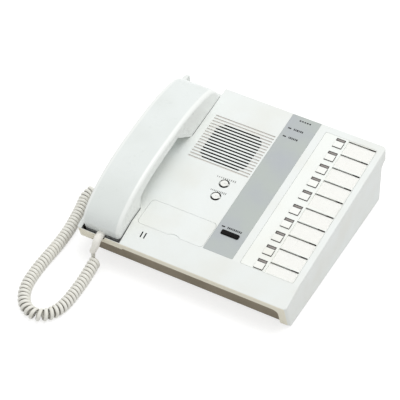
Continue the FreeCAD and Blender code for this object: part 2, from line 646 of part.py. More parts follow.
def make_feet():
    """Four rubber feet pressed into their seats."""
    return [cylinder(x, y, 0, FOOT_GAP + FOOT_SEAT - FLUSH, FOOT_DIAMETER) for x, y in FEET]


def make_base_screws():
    """Screws from below into the upper housing's columns."""
    screws = []
    for x, y in BOSSES:
        seat = FOOT_GAP + SCREW_HEAD_HEIGHT - 0.6
        head = cylinder(x, y, seat - SCREW_HEAD_HEIGHT + 0.4, seat - FLUSH, SCREW_HEAD)
        shank = cylinder(x, y, seat - 0.1, BOSS_FOOT + 10.0, SCREW_DIAMETER - 0.1)
        screws.append(fuse([head, shank]))
    return screws


# ---------------------------------------------------------------- panel parts
def make_control_strip():
    """Grey inlay with three lamp windows and the button's opening."""
    plate = rounded_prism(STRIP_X0, STRIP_X0 + STRIP_WIDTH, STRIP_START, STRIP_START + STRIP_LENGTH,
                          -STRIP_THICK + FLUSH, 0.0, 0.7)
    return cut(placed(plate, PANEL), strip_tools(STRIP_THICK + 1))


def make_strip_lamps():
    """Clear lamp windows flush in the strip."""
    return [placed(block(LAMP_X - LAMP_LENGTH / 2 + FLUSH, LAMP_X + LAMP_LENGTH / 2 - FLUSH,
                         t - LAMP_WIDTH / 2 + FLUSH, t + LAMP_WIDTH / 2 - FLUSH, -COVER_WALL, 0.1), PANEL)
            for t in LAMP_STATIONS]


def make_transfer_button():
    """Black bar button with a retaining flange under the housing."""
    cap = rounded_prism(STRIP_MIDDLE - BUTTON_LENGTH / 2, STRIP_MIDDLE + BUTTON_LENGTH / 2,
                        BUTTON_STATION - BUTTON_WIDTH / 2, BUTTON_STATION + BUTTON_WIDTH / 2,
                        -KEY_SKIRT, BUTTON_RISE, 1.2)
    top = [e for e in cap.Edges if e.BoundBox.ZMin > BUTTON_RISE - 0.01]
    cap = cap.makeFillet(0.5, top)
    flange = block(STRIP_MIDDLE - BUTTON_LENGTH / 2 - 1.5, STRIP_MIDDLE + BUTTON_LENGTH / 2 + 1.5,
                   BUTTON_STATION - BUTTON_WIDTH / 2 - 1.5, BUTTON_STATION + BUTTON_WIDTH / 2 + 1.5,
                   -COVER_WALL - 0.2 - KEY_FLANGE, -COVER_WALL - 0.2)
    return placed(fuse([cap, flange]), PANEL)


def card_span(row):
    """Front and back edge of a row's name card along the panel."""
    back = row_station(row) + CARD_BACK
    return max(back - CARD_LENGTH, PANEL_START + CARD_MARGIN), back


def make_key_panel():
    """White bezel holding the key column, the lamp windows and the name cards."""
    plate = rounded_prism(PANEL_X0, PANEL_X1, PANEL_START, PANEL_END, -PANEL_THICK + FLUSH, 0.0, PANEL_CORNER)
    tools = []
    depth = CARD_THICK + WINDOW_THICK
    for row in range(KEY_ROWS):
        t = row_station(row)
        half_x = KEY_WIDTH / 2 + KEY_GAP
        half_t = KEY_DEPTH / 2 + KEY_GAP
        middle = t - KEY_OFFSET
        tools.append(block(KEY_X - half_x, KEY_X + half_x, middle - half_t, middle + half_t, -5.0, 1.0))
        tools.append(block(KEY_X - LENS_WIDTH / 2, KEY_X + LENS_WIDTH / 2,
                           t - LENS_DEPTH / 2, t + LENS_DEPTH / 2, -5.0, 1.0))
        front, back = card_span(row)
        tools.append(block(CARD_X0, CARD_X0 + CARD_WIDTH, front, back + CARD_SLOT, -depth, 1.0))
    return placed(cut(plate, tools), PANEL)


def make_lamp_lenses():
    """Grey lamp windows, one to a row."""
    return [placed(block(KEY_X - LENS_WIDTH / 2 + FLUSH, KEY_X + LENS_WIDTH / 2 - FLUSH,
                         row_station(row) - LENS_DEPTH / 2 + FLUSH, row_station(row) + LENS_DEPTH / 2 - FLUSH,
                         -PANEL_THICK + FLUSH, -0.1), PANEL) for row in range(KEY_ROWS)]


def make_name_cards():
    """Paper cards lying in the key panel's recesses."""
    cards = []
    bottom = -CARD_THICK - WINDOW_THICK + FLUSH
    for row in range(KEY_ROWS):
        front, back = card_span(row)
        cards.append(placed(block(CARD_X0 + 0.3, CARD_X0 + CARD_WIDTH - 0.3, front + 0.3, back - 0.3,
                                  bottom, bottom + CARD_THICK - FLUSH), PANEL))
    return cards


def make_card_windows():
    """Clear covers over the name cards."""
    windows = []
    for row in range(KEY_ROWS):
        front, back = card_span(row)
        windows.append(placed(block(CARD_X0 + 0.05, CARD_X0 + CARD_WIDTH - 0.05, front + 0.05, back,
                                    -WINDOW_THICK + FLUSH, 0.0), PANEL))
    return windows


def make_key(row):
    """Station key: raised cap, skirt through the housing and retaining flange."""
    middle = row_station(row) - KEY_OFFSET
    cap = rounded_prism(KEY_X - KEY_WIDTH / 2, KEY_X + KEY_WIDTH / 2, middle - KEY_DEPTH / 2,
                        middle + KEY_DEPTH / 2, -KEY_SKIRT, KEY_RISE, 0.6)
    top = [e for e in cap.Edges if e.BoundBox.ZMin > KEY_RISE - 0.01]
    cap = cap.makeFillet(0.35, top)
    flange = block(KEY_X - KEY_WIDTH / 2 - 1.2, KEY_X + KEY_WIDTH / 2 + 1.2, middle - KEY_DEPTH / 2 - 1.2,
                   middle + KEY_DEPTH / 2 + 1.2, -COVER_WALL - 0.2 - KEY_FLANGE, -COVER_WALL - 0.2)
    return placed(fuse([cap, flange]), PANEL)


def make_cover_plate():
    """Blank plate over the unused positions, with a fingernail notch in its front edge."""
    plate = rounded_prism(PLATE_LEFT, PLATE_RIGHT, PLATE_START, PLATE_END, -PLATE_THICK + FLUSH, 0.0, PLATE_CORNER)
    notch = Part.makeCylinder(9.0, 3.0, V(-20.0, PLATE_START - 6.6, -0.6))
    return placed(cut(plate, [notch]), PANEL)


def make_knob(station):
    """Small round knob with a pointer bar, sunk in its well."""
    bottom = -KNOB_WELL_DEPTH + KNOB_FLOOR_GAP
    disc = Part.makeCylinder(KNOB_DIAMETER / 2, KNOB_RISE - bottom, V(KNOB_X, station, bottom))
    top = [e for e in disc.Edges if e.BoundBox.ZMin > KNOB_RISE - 0.01]
    disc = disc.makeChamfer(0.4, top)
    pointer = block(KNOB_X, KNOB_X + KNOB_WELL / 2 - 0.4, station - POINTER_WIDTH / 2, station + POINTER_WIDTH / 2,
                    bottom, KNOB_RISE)
    groove = block(KNOB_X - 0.5, KNOB_X + KNOB_WELL / 2, station - 0.3, station + 0.3, KNOB_RISE - 0.35, KNOB_RISE + 1)
    bore = Part.makeCylinder(SHAFT_DIAMETER / 2, KNOB_RISE - bottom - 0.9, V(KNOB_X, station, bottom))
    return placed(cut(fuse([disc, pointer]), [groove, bore]), PANEL)


def make_knob_shaft(station):
    """Potentiometer shaft pressed into the knob."""
    top = KNOB_RISE - 0.9 - FLUSH
    bottom = -MAIN_BOARD_DEPTH + POT_HEIGHT - 2.0
    return placed(Part.makeCylinder(SHAFT_DIAMETER / 2, top - bottom, V(KNOB_X, station, bottom)), PANEL)


def make_volume_control(station):
    """Potentiometer body on the main board."""
    body = block(KNOB_X - POT_SIZE / 2, KNOB_X + POT_SIZE / 2, station - POT_SIZE / 2, station + POT_SIZE / 2,
                 -MAIN_BOARD_DEPTH + FLUSH, -MAIN_BOARD_DEPTH + POT_HEIGHT)
    bush = Part.makeCylinder(3.0, 2.0, V(KNOB_X, station, -MAIN_BOARD_DEPTH + POT_HEIGHT - 0.1))
    bore = Part.makeCylinder(SHAFT_DIAMETER / 2 + SHAFT_CLEAR, 10.0,
                             V(KNOB_X, station, -MAIN_BOARD_DEPTH + POT_HEIGHT - 2.05))
    return placed(cut(fuse([body, bush]), [bore]), PANEL)


# ---------------------------------------------------------------- inside the body
SPEAKER_SEAT = COVER_WALL + 3.0
KEY_BOARD = (KEY_BOARD_X0, RIGHT_X - 4.0, 5.5, PANEL_END)
MAIN_BOARD = (POCKET_X1 + 7.0, MAIN_BOARD_X1, 4.5, SPEAKER_STATION - SPEAKER_SIZE / 2 - 3.54)
MAIN_ARM = (SPEAKER_X + SPEAKER_SIZE / 2 + 5.3, PANEL_LENGTH - 16.2)
LAMP_WING = (LAMP_X - 5.6, LAMP_STATIONS[1] - 3.0)
BOARD_HOLES_KEY = tuple((x, t) for t in (KEY_BOARD[2] + 8.5, KEY_BOARD[2] + 84.5, KEY_BOARD[3] - 17.0)
                        for x in (KEY_BOARD[0] + 3.6, KEY_BOARD[1] - 8.0))
BOARD_HOLES_MAIN = ((MAIN_BOARD[0] + 5.0, MAIN_BOARD[2] + 5.5), (MAIN_BOARD[0] + 5.0, MAIN_BOARD[3] - 4.0),
                    (MAIN_BOARD[1] - 5.0, MAIN_BOARD[2] + 5.5), (MAIN_BOARD[1] - 5.0, MAIN_BOARD[3] + 8.0),
                    (MAIN_BOARD[1] - 5.0, MAIN_ARM[1] - 9.0))


def make_speaker_frame():
    """Square flange and open basket of the loudspeaker."""
    top = -SPEAKER_SEAT - FLUSH
    half = SPEAKER_SIZE / 2
    flange = rounded_prism(SPEAKER_X - half, SPEAKER_X + half, SPEAKER_STATION - half, SPEAKER_STATION + half,
                           top - SPEAKER_FLANGE, top, 5.0)
    rim = SPEAKER_OPENING / 2 + 2.0
    neck = MAGNET_DIAMETER / 2
    centre = V(SPEAKER_X, SPEAKER_STATION, top - SPEAKER_FLANGE - CONE_DEPTH)
    outside = Part.makeCone(neck + 1.5, rim + 1.2, CONE_DEPTH + 0.1, centre)
    inside = Part.makeCone(neck + 0.3, rim, CONE_DEPTH + 0.1, centre + V(0, 0, 1.2))
    hole = Part.makeCylinder(rim - 0.4, SPEAKER_FLANGE + 2, V(SPEAKER_X, SPEAKER_STATION, top - SPEAKER_FLANGE - 1))
    coil_hole = Part.makeCylinder(8.0, 4.0, centre + V(0, 0, -1))
    tools = [inside, hole, coil_hole]
    for i in range(4):
        window = block(neck + 3.0, rim + 5, -7.0, 7.0, 3.0, CONE_DEPTH - 2.5)
        window.rotate(V(0, 0, 0), UP, 45.0 + 90.0 * i)
        window.translate(centre)
        tools.append(window)
    for i in (-1, 1):
        for j in (-1, 1):
            tools.append(Part.makeCylinder(1.4, 4.0, V(SPEAKER_X + i * (half - 4), SPEAKER_STATION + j * (half - 4),
                                                       top - 3)))
    return placed(cut(fuse([flange, outside]), tools), PANEL)


def make_speaker_cone():
    """Paper cone with its rolled surround and dust cap."""
    rim = SPEAKER_OPENING / 2 + 1.0
    top = -SPEAKER_SEAT - SPEAKER_FLANGE + 0.2
    low = top - CONE_DEPTH + 4.4
    cap, dome = 7.5, 2.6
    ball = (cap ** 2 + dome ** 2) / (2 * dome)
    half = math.asin(cap / ball) / 2
    p = [V(rim, 0, top), V(rim - 3.0, 0, top + 1.2), V(rim - 6.0, 0, top), V(cap, 0, low),
         V(ball * math.sin(half), 0, low + dome - ball * (1 - math.cos(half))), V(0, 0, low + dome),
         V(0, 0, low - 5.0), V(rim, 0, low - 5.0)]
    edges = [Part.Arc(p[0], p[1], p[2]).toShape(), Part.LineSegment(p[2], p[3]).toShape(),
             Part.Arc(p[3], p[4], p[5]).toShape(), Part.LineSegment(p[5], p[6]).toShape(),
             Part.LineSegment(p[6], p[7]).toShape(), Part.LineSegment(p[7], p[0]).toShape()]
    form = Part.Face(Part.Wire(edges)).revolve(V(0, 0, 0), UP, 360)
    form.translate(V(SPEAKER_X, SPEAKER_STATION, 0))
    lower = form.copy()
    lower.translate(V(0, 0, -CONE_SKIN))
    return placed(cut(form, [lower]), PANEL)


def make_speaker_magnet():
    """Ring magnet between its two plates, with the pole piece."""
    top = -SPEAKER_SEAT - SPEAKER_FLANGE - CONE_DEPTH - 2 * FLUSH
    r = MAGNET_DIAMETER / 2
    plate = Part.makeCylinder(r - 1.0, 1.6, V(SPEAKER_X, SPEAKER_STATION, top - 1.6))
    ring = Part.makeCylinder(r, MAGNET_HEIGHT - 3.0, V(SPEAKER_X, SPEAKER_STATION, top - MAGNET_HEIGHT + 1.4))
    back = Part.makeCylinder(r - 1.0, 1.5, V(SPEAKER_X, SPEAKER_STATION, top - MAGNET_HEIGHT))
    pole = Part.makeCylinder(5.0, 4.0, V(SPEAKER_X, SPEAKER_STATION, top - 1.7))
    return placed(fuse([plate, ring, back, pole]), PANEL)


def pan_screw(x, t, under_head, length, diameter, head):
    """Pan-head screw pointing up along the panel normal; the head is below under_head."""
    rim = Part.makeCylinder(head / 2, 0.9, V(x, t, under_head - 0.9))
    crown = Part.makeCone(head / 2 - 0.6, head / 2, 0.5, V(x, t, under_head - 1.4))
    shank = Part.makeCylinder(diameter / 2, length + 0.1, V(x, t, under_head - 0.1))
    return placed(fuse([rim, crown, shank]), PANEL)


def make_speaker_screws():
    """Four screws through the loudspeaker's flange."""
    half = SPEAKER_SIZE / 2 - 4
    under = -SPEAKER_SEAT - SPEAKER_FLANGE - 2 * FLUSH
    return [pan_screw(SPEAKER_X + i * half, SPEAKER_STATION + j * half, under, 4.5, 2.5, 5.0)
            for i in (-1, 1) for j in (-1, 1)]


def board_plate(x0, x1, t0, t1, depth):
    """Circuit board blank lying under the panel."""
    return block(x0, x1, t0, t1, -depth - BOARD_THICK, -depth - FLUSH)


def make_key_board():
    """Circuit board under the station keys."""
    plate = board_plate(*KEY_BOARD, KEY_BOARD_DEPTH)
    tools = [Part.makeCylinder(1.4, 8.0, V(x, t, -KEY_BOARD_DEPTH - 4)) for x, t in BOARD_HOLES_KEY]
    return placed(cut(plate, tools), PANEL)


def make_main_board():
    """L-shaped amplifier board beside and in front of the loudspeaker."""
    x0, x1, t0, t1 = MAIN_BOARD
    arm_x, arm_end = MAIN_ARM
    wing_x, wing_start = LAMP_WING
    plate = fuse([board_plate(x0, x1, t0, t1, MAIN_BOARD_DEPTH),
                  board_plate(arm_x, x1, t1 - 1.0, arm_end, MAIN_BOARD_DEPTH),
                  board_plate(wing_x, x1, wing_start, arm_end, MAIN_BOARD_DEPTH)])
    tools = [Part.makeCylinder(1.4, 8.0, V(x, t, -MAIN_BOARD_DEPTH - 4)) for x, t in BOARD_HOLES_MAIN]
    return placed(cut(plate, tools), PANEL)


def make_board_screws():
    """Screws that hold both boards up to the housing's columns."""
    screws = []
    for holes, depth in ((BOARD_HOLES_KEY, KEY_BOARD_DEPTH), (BOARD_HOLES_MAIN, MAIN_BOARD_DEPTH)):
        for x, t in holes:
            screws.append(pan_screw(x, t, -depth - BOARD_THICK - FLUSH, 6.0, 2.5, 5.0))
    return screws


def push_switch(x, t, size_x, size_t, floor, body, stem):
    """Small switch: a body on the board with a round actuator."""
    case = block(x - size_x / 2, x + size_x / 2, t - size_t / 2, t + size_t / 2, floor, floor + body)
    actuator = Part.makeCylinder(1.7, stem + 0.1, V(x, t, floor + body - 0.1))
    return placed(fuse([case, actuator]), PANEL)


def make_key_switches():
    """Switches under the keys, on the key board."""
    reach = KEY_BOARD_DEPTH - KEY_SKIRT - KEY_TRAVEL - 0.1
    return [push_switch(KEY_X, row_station(row) - KEY_OFFSET, SWITCH_SIZE, SWITCH_SIZE,
                        -KEY_BOARD_DEPTH, reach - 0.9, 0.9) for row in range(KEY_ROWS)]


def make_transfer_switch():
    """Switch under the bar button, on the main board."""
    reach = MAIN_BOARD_DEPTH - KEY_SKIRT - BUTTON_TRAVEL - 0.1
    return push_switch(STRIP_MIDDLE, BUTTON_STATION, 12.0, SWITCH_SIZE, -MAIN_BOARD_DEPTH, reach - 1.5, 1.5)


def lamp(x, t, floor, top):
    """Light-emitting diode with a tapered end."""
    r = LED_DIAMETER / 2
    body = Part.makeCylinder(r, top - r - floor, V(x, t, floor))
    dome = Part.makeCone(r, r * 0.35, r, V(x, t, top - r))
    return placed(fuse([body, dome]), PANEL)


def make_station_lamps():
    """Lamps under the station lenses."""
    return [lamp(KEY_X, row_station(row), -KEY_BOARD_DEPTH, -COVER_WALL - 3.2) for row in range(KEY_ROWS)]


def make_strip_leds():
    """Lamps under the strip's three windows."""
    return [lamp(LAMP_X, t, -MAIN_BOARD_DEPTH, -COVER_WALL - 0.3) for t in LAMP_STATIONS]


def make_board_parts():
    """Integrated circuits, capacitors and the line transformer on the main board."""
    under = -MAIN_BOARD_DEPTH - BOARD_THICK - FLUSH
    x0, x1, t0, t1 = MAIN_BOARD
    parts = []
    for x, t in ((x0 + 17.0, t0 + 25.5), (x0 + 17.0, t0 + 45.5), (x0 + 42.0, t0 + 25.5)):
        parts.append(placed(block(x - 9.5, x + 9.5, t - 3.2, t + 3.2, under - 3.6, under), PANEL))
    for x, t in ((x1 - 21.0, t1 - 28.0), (x1 - 11.0, t1 - 28.0), (x1 - 21.0, t1 - 16.0), (x1 - 11.0, t1 - 16.0),
                 ((MAIN_ARM[0] + x1) / 2, t1 + 22.0)):
        parts.append(placed(Part.makeCylinder(4.0, 10.0, V(x, t, under - 10.0)), PANEL))
    return parts


def make_line_transformer():
    """Small laminated transformer under the main board."""
    under = -MAIN_BOARD_DEPTH - BOARD_THICK - FLUSH
    x = MAIN_BOARD[0] + 19.0
    t = MAIN_BOARD[3] - 16.0
    core = block(x - 10.0, x + 10.0, t - 8.0, t + 8.0, under - 14.0, under)
    window = block(x - 6.5, x + 6.5, t - 12.0, t + 12.0, under - 10.5, under - 3.5)
    coil = block(x - 5.5, x + 5.5, t - 10.5, t + 10.5, under - 10.7, under - 3.3)
    return placed(fuse([cut(core, [window]), coil]), PANEL)


def make_mic_rubber():
    """Rubber boot round the body's microphone."""
    t = MIC_SLOT_START + MIC_SLOT_LENGTH / 2
    x = MIC_X
    outer = Part.makeCylinder(MIC_DIAMETER / 2 + MIC_RUBBER, MIC_HEIGHT + 1.0, V(x, t, -COVER_WALL - FLUSH - MIC_HEIGHT - 1.0))
    inner = Part.makeCylinder(MIC_DIAMETER / 2, MIC_HEIGHT, V(x, t, -COVER_WALL - FLUSH - MIC_HEIGHT))
    return placed(cut(outer, [inner]), SLOPE)


def make_mic_capsule():
    """Microphone capsule behind the two slots."""
    t = MIC_SLOT_START + MIC_SLOT_LENGTH / 2
    x = MIC_X
    capsule = Part.makeCylinder(MIC_DIAMETER / 2 - FLUSH, MIC_HEIGHT - 2 * FLUSH,
                                V(x, t, -COVER_WALL - MIC_HEIGHT))
    return placed(capsule, SLOPE)


def make_hook_switch():
    """Switch between the two brackets under the earpiece pocket."""
    top = -HOOK_SWITCH_TOP
    case = block(HANDSET_X - 9.0 + FLUSH, HANDSET_X + 9.0 - FLUSH, HOOK_STATION - 4.0, HOOK_STATION + 4.0,
                 top - 6.0 + FLUSH, top)
    return placed(case, PANEL)


def make_hook_plunger():
    """Hook plunger that the handset presses down; it rises when the handset is lifted."""
    top = -EAR_DEPTH + REST_GAP - 0.05
    stem = rounded_prism(HANDSET_X - HOOK_WIDTH / 2, HANDSET_X + HOOK_WIDTH / 2, HOOK_STATION - HOOK_DEPTH / 2,
                         HOOK_STATION + HOOK_DEPTH / 2, -HOOK_SWITCH_TOP + 0.8, top, 0.9)
    flange_top = -EAR_DEPTH - POCKET_WALL - HOOK_TRAVEL - 0.1
    flange = block(HANDSET_X - HOOK_WIDTH / 2 - 2.0, HANDSET_X + HOOK_WIDTH / 2 + 2.0, HOOK_STATION - HOOK_DEPTH / 2,
                   HOOK_STATION + HOOK_DEPTH / 2, flange_top - 1.2, flange_top)
    return placed(fuse([stem, flange]), PANEL)


def make_handset_jack():
    """Modular socket in the base's left wall."""
    case = block(BASE_LEFT, BASE_LEFT + JACK_LENGTH, JACK_Y - JACK_WIDTH / 2 + FLUSH, JACK_Y + JACK_WIDTH / 2 - FLUSH,
                 FOOT_GAP + FLOOR + FLUSH, JACK_Z + JACK_HEIGHT / 2 - FLUSH)
    mouth = block(BASE_LEFT - 1, BASE_LEFT + JACK_LENGTH - 3.0, JACK_Y - PLUG_WIDTH / 2 - 0.15,
                  JACK_Y + PLUG_WIDTH / 2 + 0.15, JACK_Z - PLUG_HEIGHT / 2 - 0.15, JACK_Z + PLUG_HEIGHT / 2 + 0.15)
    return cut(case, [mouth])


def make_cord_plug():
    """Modular plug at the cord's end."""
    body = block(BASE_LEFT - 9.0, BASE_LEFT + 9.0, JACK_Y - PLUG_WIDTH / 2, JACK_Y + PLUG_WIDTH / 2,
                 JACK_Z - PLUG_HEIGHT / 2, JACK_Z + PLUG_HEIGHT / 2)
    side = [e for e in body.Edges if e.BoundBox.XMax < BASE_LEFT - 8.9]
    return body.makeFillet(0.8, side)


def make_terminal_block():
    """Row of line terminals behind the opening in the base's back wall."""
    half = TERMINAL_LENGTH / 2
    floor = FOOT_GAP + FLOOR + FLUSH
    back = BASE_BACK - FLOOR - 0.2
    case = block(TERMINAL_X - half, TERMINAL_X + half, back - TERMINAL_DEPTH, back, floor, floor + TERMINAL_HEIGHT)
    step = block(TERMINAL_X - half - 1, TERMINAL_X + half + 1, back - 6.0, back + 1, floor + 6.0,
                 floor + TERMINAL_HEIGHT + 1)
    tools = [step]
    pitch = TERMINAL_LENGTH / TERMINALS
    for i in range(TERMINALS - 1):
        x = TERMINAL_X - half + (i + 1) * pitch
        tools.append(block(x - 0.4, x + 0.4, back - 9.0, back + 1, floor + 4.5, floor + TERMINAL_HEIGHT + 1))
    return cut(case, tools)


def make_terminal_screws():
    """Clamp screws of the line terminals."""
    half = TERMINAL_LENGTH / 2
    pitch = TERMINAL_LENGTH / TERMINALS
    back = BASE_BACK - FLOOR - 0.2
    floor = FOOT_GAP + FLOOR + 2 * FLUSH + 6.0
    return [cylinder(TERMINAL_X - half + (i + 0.5) * pitch, back - 3.0, floor, floor + 1.6, 3.6)
            for i in range(TERMINALS)]


# ---------------------------------------------------------------- handset
CAP_FRONT = FRONT + MOUTH_FRONT + CAP_CLEAR
CAP_REAR = FRONT + MOUTH_FRONT + MOUTH_LENGTH - 2.0
EAR_CAP_FRONT = BACK - EAR_LENGTH + 1.2
EAR_CAP_REAR = BACK - EAR_BACK
CAP_BOTTOM = MOUTH_FLOOR + REST_GAP
PARTING_Z = CAP_BOTTOM + 14.3
BOOT_Z = CAP_BOTTOM + 7.3
GRIP_RISE = 26.0             # between the handle's underside and its crown, above the panel


def ear_floor_z(y):
    """Height of the earpiece's underside, parallel to the pocket floor."""
    return panel_z(y) - (EAR_DEPTH - REST_GAP) / math.cos(PANEL_ANGLE)


def line(a, b):
    """Straight edge between two (y, z) points."""
    return Part.LineSegment(V(0, *a), V(0, *b)).toShape()


def profile(start, end, shares):
    """Points (y, z) from (share of the way from start to end, rise above the panel) pairs."""
    return tuple((start + share * (end - start), panel_z(start + share * (end - start)) + rise)
                 for share, rise in shares)


CROWN = profile(CAP_FRONT, EAR_CAP_REAR, (
    (-0.0133, 10.73), (0.0036, 16.72), (0.0307, 20.68), (0.0676, 23.37), (0.1168, 25.93), (0.1803, 29.70),
    (0.3135, 33.91), (0.4544, 34.84), (0.5697, 34.55), (0.6721, 33.44), (0.7746, 30.34),
    (0.8566, 26.29), (0.9027, 22.66), (0.9385, 17.65), (0.9795, 7.63), (1.0102, -2.56)))
UNDER = profile(CAP_REAR, EAR_CAP_FRONT, (
    (0.72531, 23.176), (0.61214, 22.243), (0.46811, 21.757), (0.27263, 20.246), (0.11831, 17.574),
    (0.01646, 13.015)))


def curve_inside(points, inset, before, after):
    """Smooth edge to the right of the curve through points, from one straight neighbour to the next."""
    curve = Part.BSplineCurve()
    curve.interpolate([V(0, y, z) for y, z in points])
    moved = []
    for y, z in points:
        tangent = curve.tangent(curve.parameter(V(0, y, z)))[0]
        moved.append((y + tangent.z * inset, z - tangent.y * inset, tangent))
    ends = []
    for (y, z, tangent), side in ((moved[0], before), (moved[-1], after)):
        ends.append(crossing(side, ((y, z), (y + tangent.y, z + tangent.z))))
    path = [ends[0]] + [(y, z) for y, z, tangent in moved[1:-1]] + [ends[1]]
    smooth = Part.BSplineCurve()
    smooth.interpolate([V(0, y, z) for y, z in path])
    return smooth.toShape(), ends


def handset_outline(inset=0.0):
    """Closed side view of the handset, or of its hollow at an inset."""
    heel = (EAR_CAP_REAR, ear_floor_z(EAR_CAP_REAR))
    toe = (EAR_CAP_FRONT + 1.2, ear_floor_z(EAR_CAP_FRONT + 1.2))
    brow = (EAR_CAP_FRONT, panel_z(EAR_CAP_FRONT))
    chin = (CAP_REAR, CAP_BOTTOM)
    nose = (FRONT + MOUTH_FRONT + CAP_CLEAR + (panel_z(FRONT + MOUTH_FRONT) - CAP_BOTTOM) * LEAN, CAP_BOTTOM)
    ear = [offset_wall(pair, inset) for pair in ((CROWN[-1], heel), (heel, toe), (toe, brow), (brow, UNDER[0]))]
    mouth = [offset_wall(pair, inset) for pair in ((UNDER[-1], chin), (chin, nose), (nose, CROWN[0]))]
    crown, crown_ends = curve_inside(CROWN, inset, mouth[-1], ear[0])
    under, under_ends = curve_inside(UNDER, inset, ear[-1], mouth[0])
    edges = [crown, under]
    for lines, start, end in ((ear, crown_ends[1], under_ends[0]), (mouth, under_ends[1], crown_ends[0])):
        corners = [start] + [crossing(lines[i], lines[i + 1]) for i in range(len(lines) - 1)] + [end]
        edges += [line(corners[i], corners[i + 1]) for i in range(len(corners) - 1)]
    return Part.Wire(Part.__sortEdges__(edges))


HANDSET_BELOW = CAP_BOTTOM - 8.0
HANDSET_ABOVE = max(z for y, z in CROWN) + 8.0


def handset_half(z):
    """Half width of the handset at a height."""
    return HANDSET_HALF + HANDSET_FLARE * (z - FLARE_START)


def handset_solid(wire, inset):
    """Side outline given the handset's tapered width, less an inset on each side."""
    reach = HANDSET_HALF * 1.5
    long_solid = Part.Face(wire).extrude(V(2 * reach, 0, 0))
    long_solid.translate(V(HANDSET_X - reach, 0, 0))
    low = handset_half(HANDSET_BELOW) - inset
    high = handset_half(HANDSET_ABOVE) - inset
    section = polygon_face([V(HANDSET_X - low, FRONT, HANDSET_BELOW), V(HANDSET_X + low, FRONT, HANDSET_BELOW),
                            V(HANDSET_X + high, FRONT, HANDSET_ABOVE), V(HANDSET_X - high, FRONT, HANDSET_ABOVE)])
    return long_solid.common(section.extrude(V(0, BODY_DEPTH, 0)))


def handset_form():
    """Outside of the handset with its ridges and corners rounded."""
    solid = handset_solid(handset_outline(), 0.0)
    sides = [e for e in solid.Edges if e.BoundBox.XLength < HANDSET_HALF / 2]
    ridge = []
    for edge in sides:
        box = edge.BoundBox
        nose = box.YMax < CAP_FRONT + 5 and box.ZLength > 5
        heel = box.YMin > EAR_CAP_REAR - 1 and box.ZLength > 3
        if nose or heel or box.YLength > BODY_DEPTH / 2:
            ridge.append(edge)
    solid = solid.makeFillet(HANDSET_RIDGE, ridge)
    lower = []
    for edge in solid.Edges:
        box = edge.BoundBox
        middle = edge.valueAt((edge.FirstParameter + edge.LastParameter) / 2)
        on_side = box.XLength < 5 and abs(middle.x - HANDSET_X) > HANDSET_HALF - 2.5
        under_handle = middle.z < panel_z(middle.y) + GRIP_RISE
        if on_side and under_handle and box.ZLength > 5 and CAP_REAR - 3 < middle.y < EAR_CAP_FRONT + 2:
            lower.append(edge)
    return solid.makeFillet(HANDSET_EDGE, lower)


def parting_tool(lift):
    """Region above the joint between the two handset shells, raised by a small gap."""
    under = [(y, z + HANDSET_WALL) for y, z in reversed(UNDER)]
    near = FRONT - 10.0
    far = BACK + 10.0
    points = [(near, PARTING_Z), (CAP_REAR - HANDSET_WALL - 1.5, PARTING_Z),
              (under[0][0] - HANDSET_WALL, under[0][1])]
    points += under[1:]
    points += [(EAR_CAP_FRONT + HANDSET_WALL + 1.5, panel_z(EAR_CAP_FRONT) + 2.0), (far, panel_z(far) - 3.0),
               (far, HANDSET_ABOVE), (near, HANDSET_ABOVE)]
    reach = HANDSET_HALF * 1.5
    return side_prism([(y, z + lift) for y, z in points], HANDSET_X - reach, HANDSET_X + reach)


def handset_shell():
    """Hollow handset before it is parted."""
    outer = handset_form()
    inner = handset_solid(handset_outline(HANDSET_WALL), HANDSET_WALL)
    return cut(outer, [inner])


EAR_CENTRE_Y = BACK - 38.0
MOUTH_CENTRE_Y = FRONT + 23.0
RECEIVER_DIAMETER = 30.0
RECEIVER_HEIGHT = 8.0
HANDSET_BOSSES = (FRONT + 33.0, EAR_CAP_FRONT + 5.9)


def ear_frame():
    """Placement on the earpiece's underside, with local Z along the panel's normal."""
    y = EAR_CENTRE_Y
    return FreeCAD.Placement(V(HANDSET_X, y, ear_floor_z(y)), FreeCAD.Rotation(RIGHT, math.degrees(PANEL_ANGLE)))


def ear_hole_tools():
    """Rings of sound holes through the earpiece."""
    tools = [Part.makeCylinder(1.0, 6.0, V(0, 0, -1))]
    for count, radius in ((6, 4.5), (12, 9.0)):
        for i in range(count):
            angle = 2 * math.pi * i / count
            tools.append(Part.makeCylinder(1.0, 6.0, V(radius * math.cos(angle), radius * math.sin(angle), -1)))
    return [placed(t, ear_frame()) for t in tools]


def boss_floor(y):
    """Height of the handset's underside below a screw column."""
    return CAP_BOTTOM if y < CAP_REAR else ear_floor_z(y)


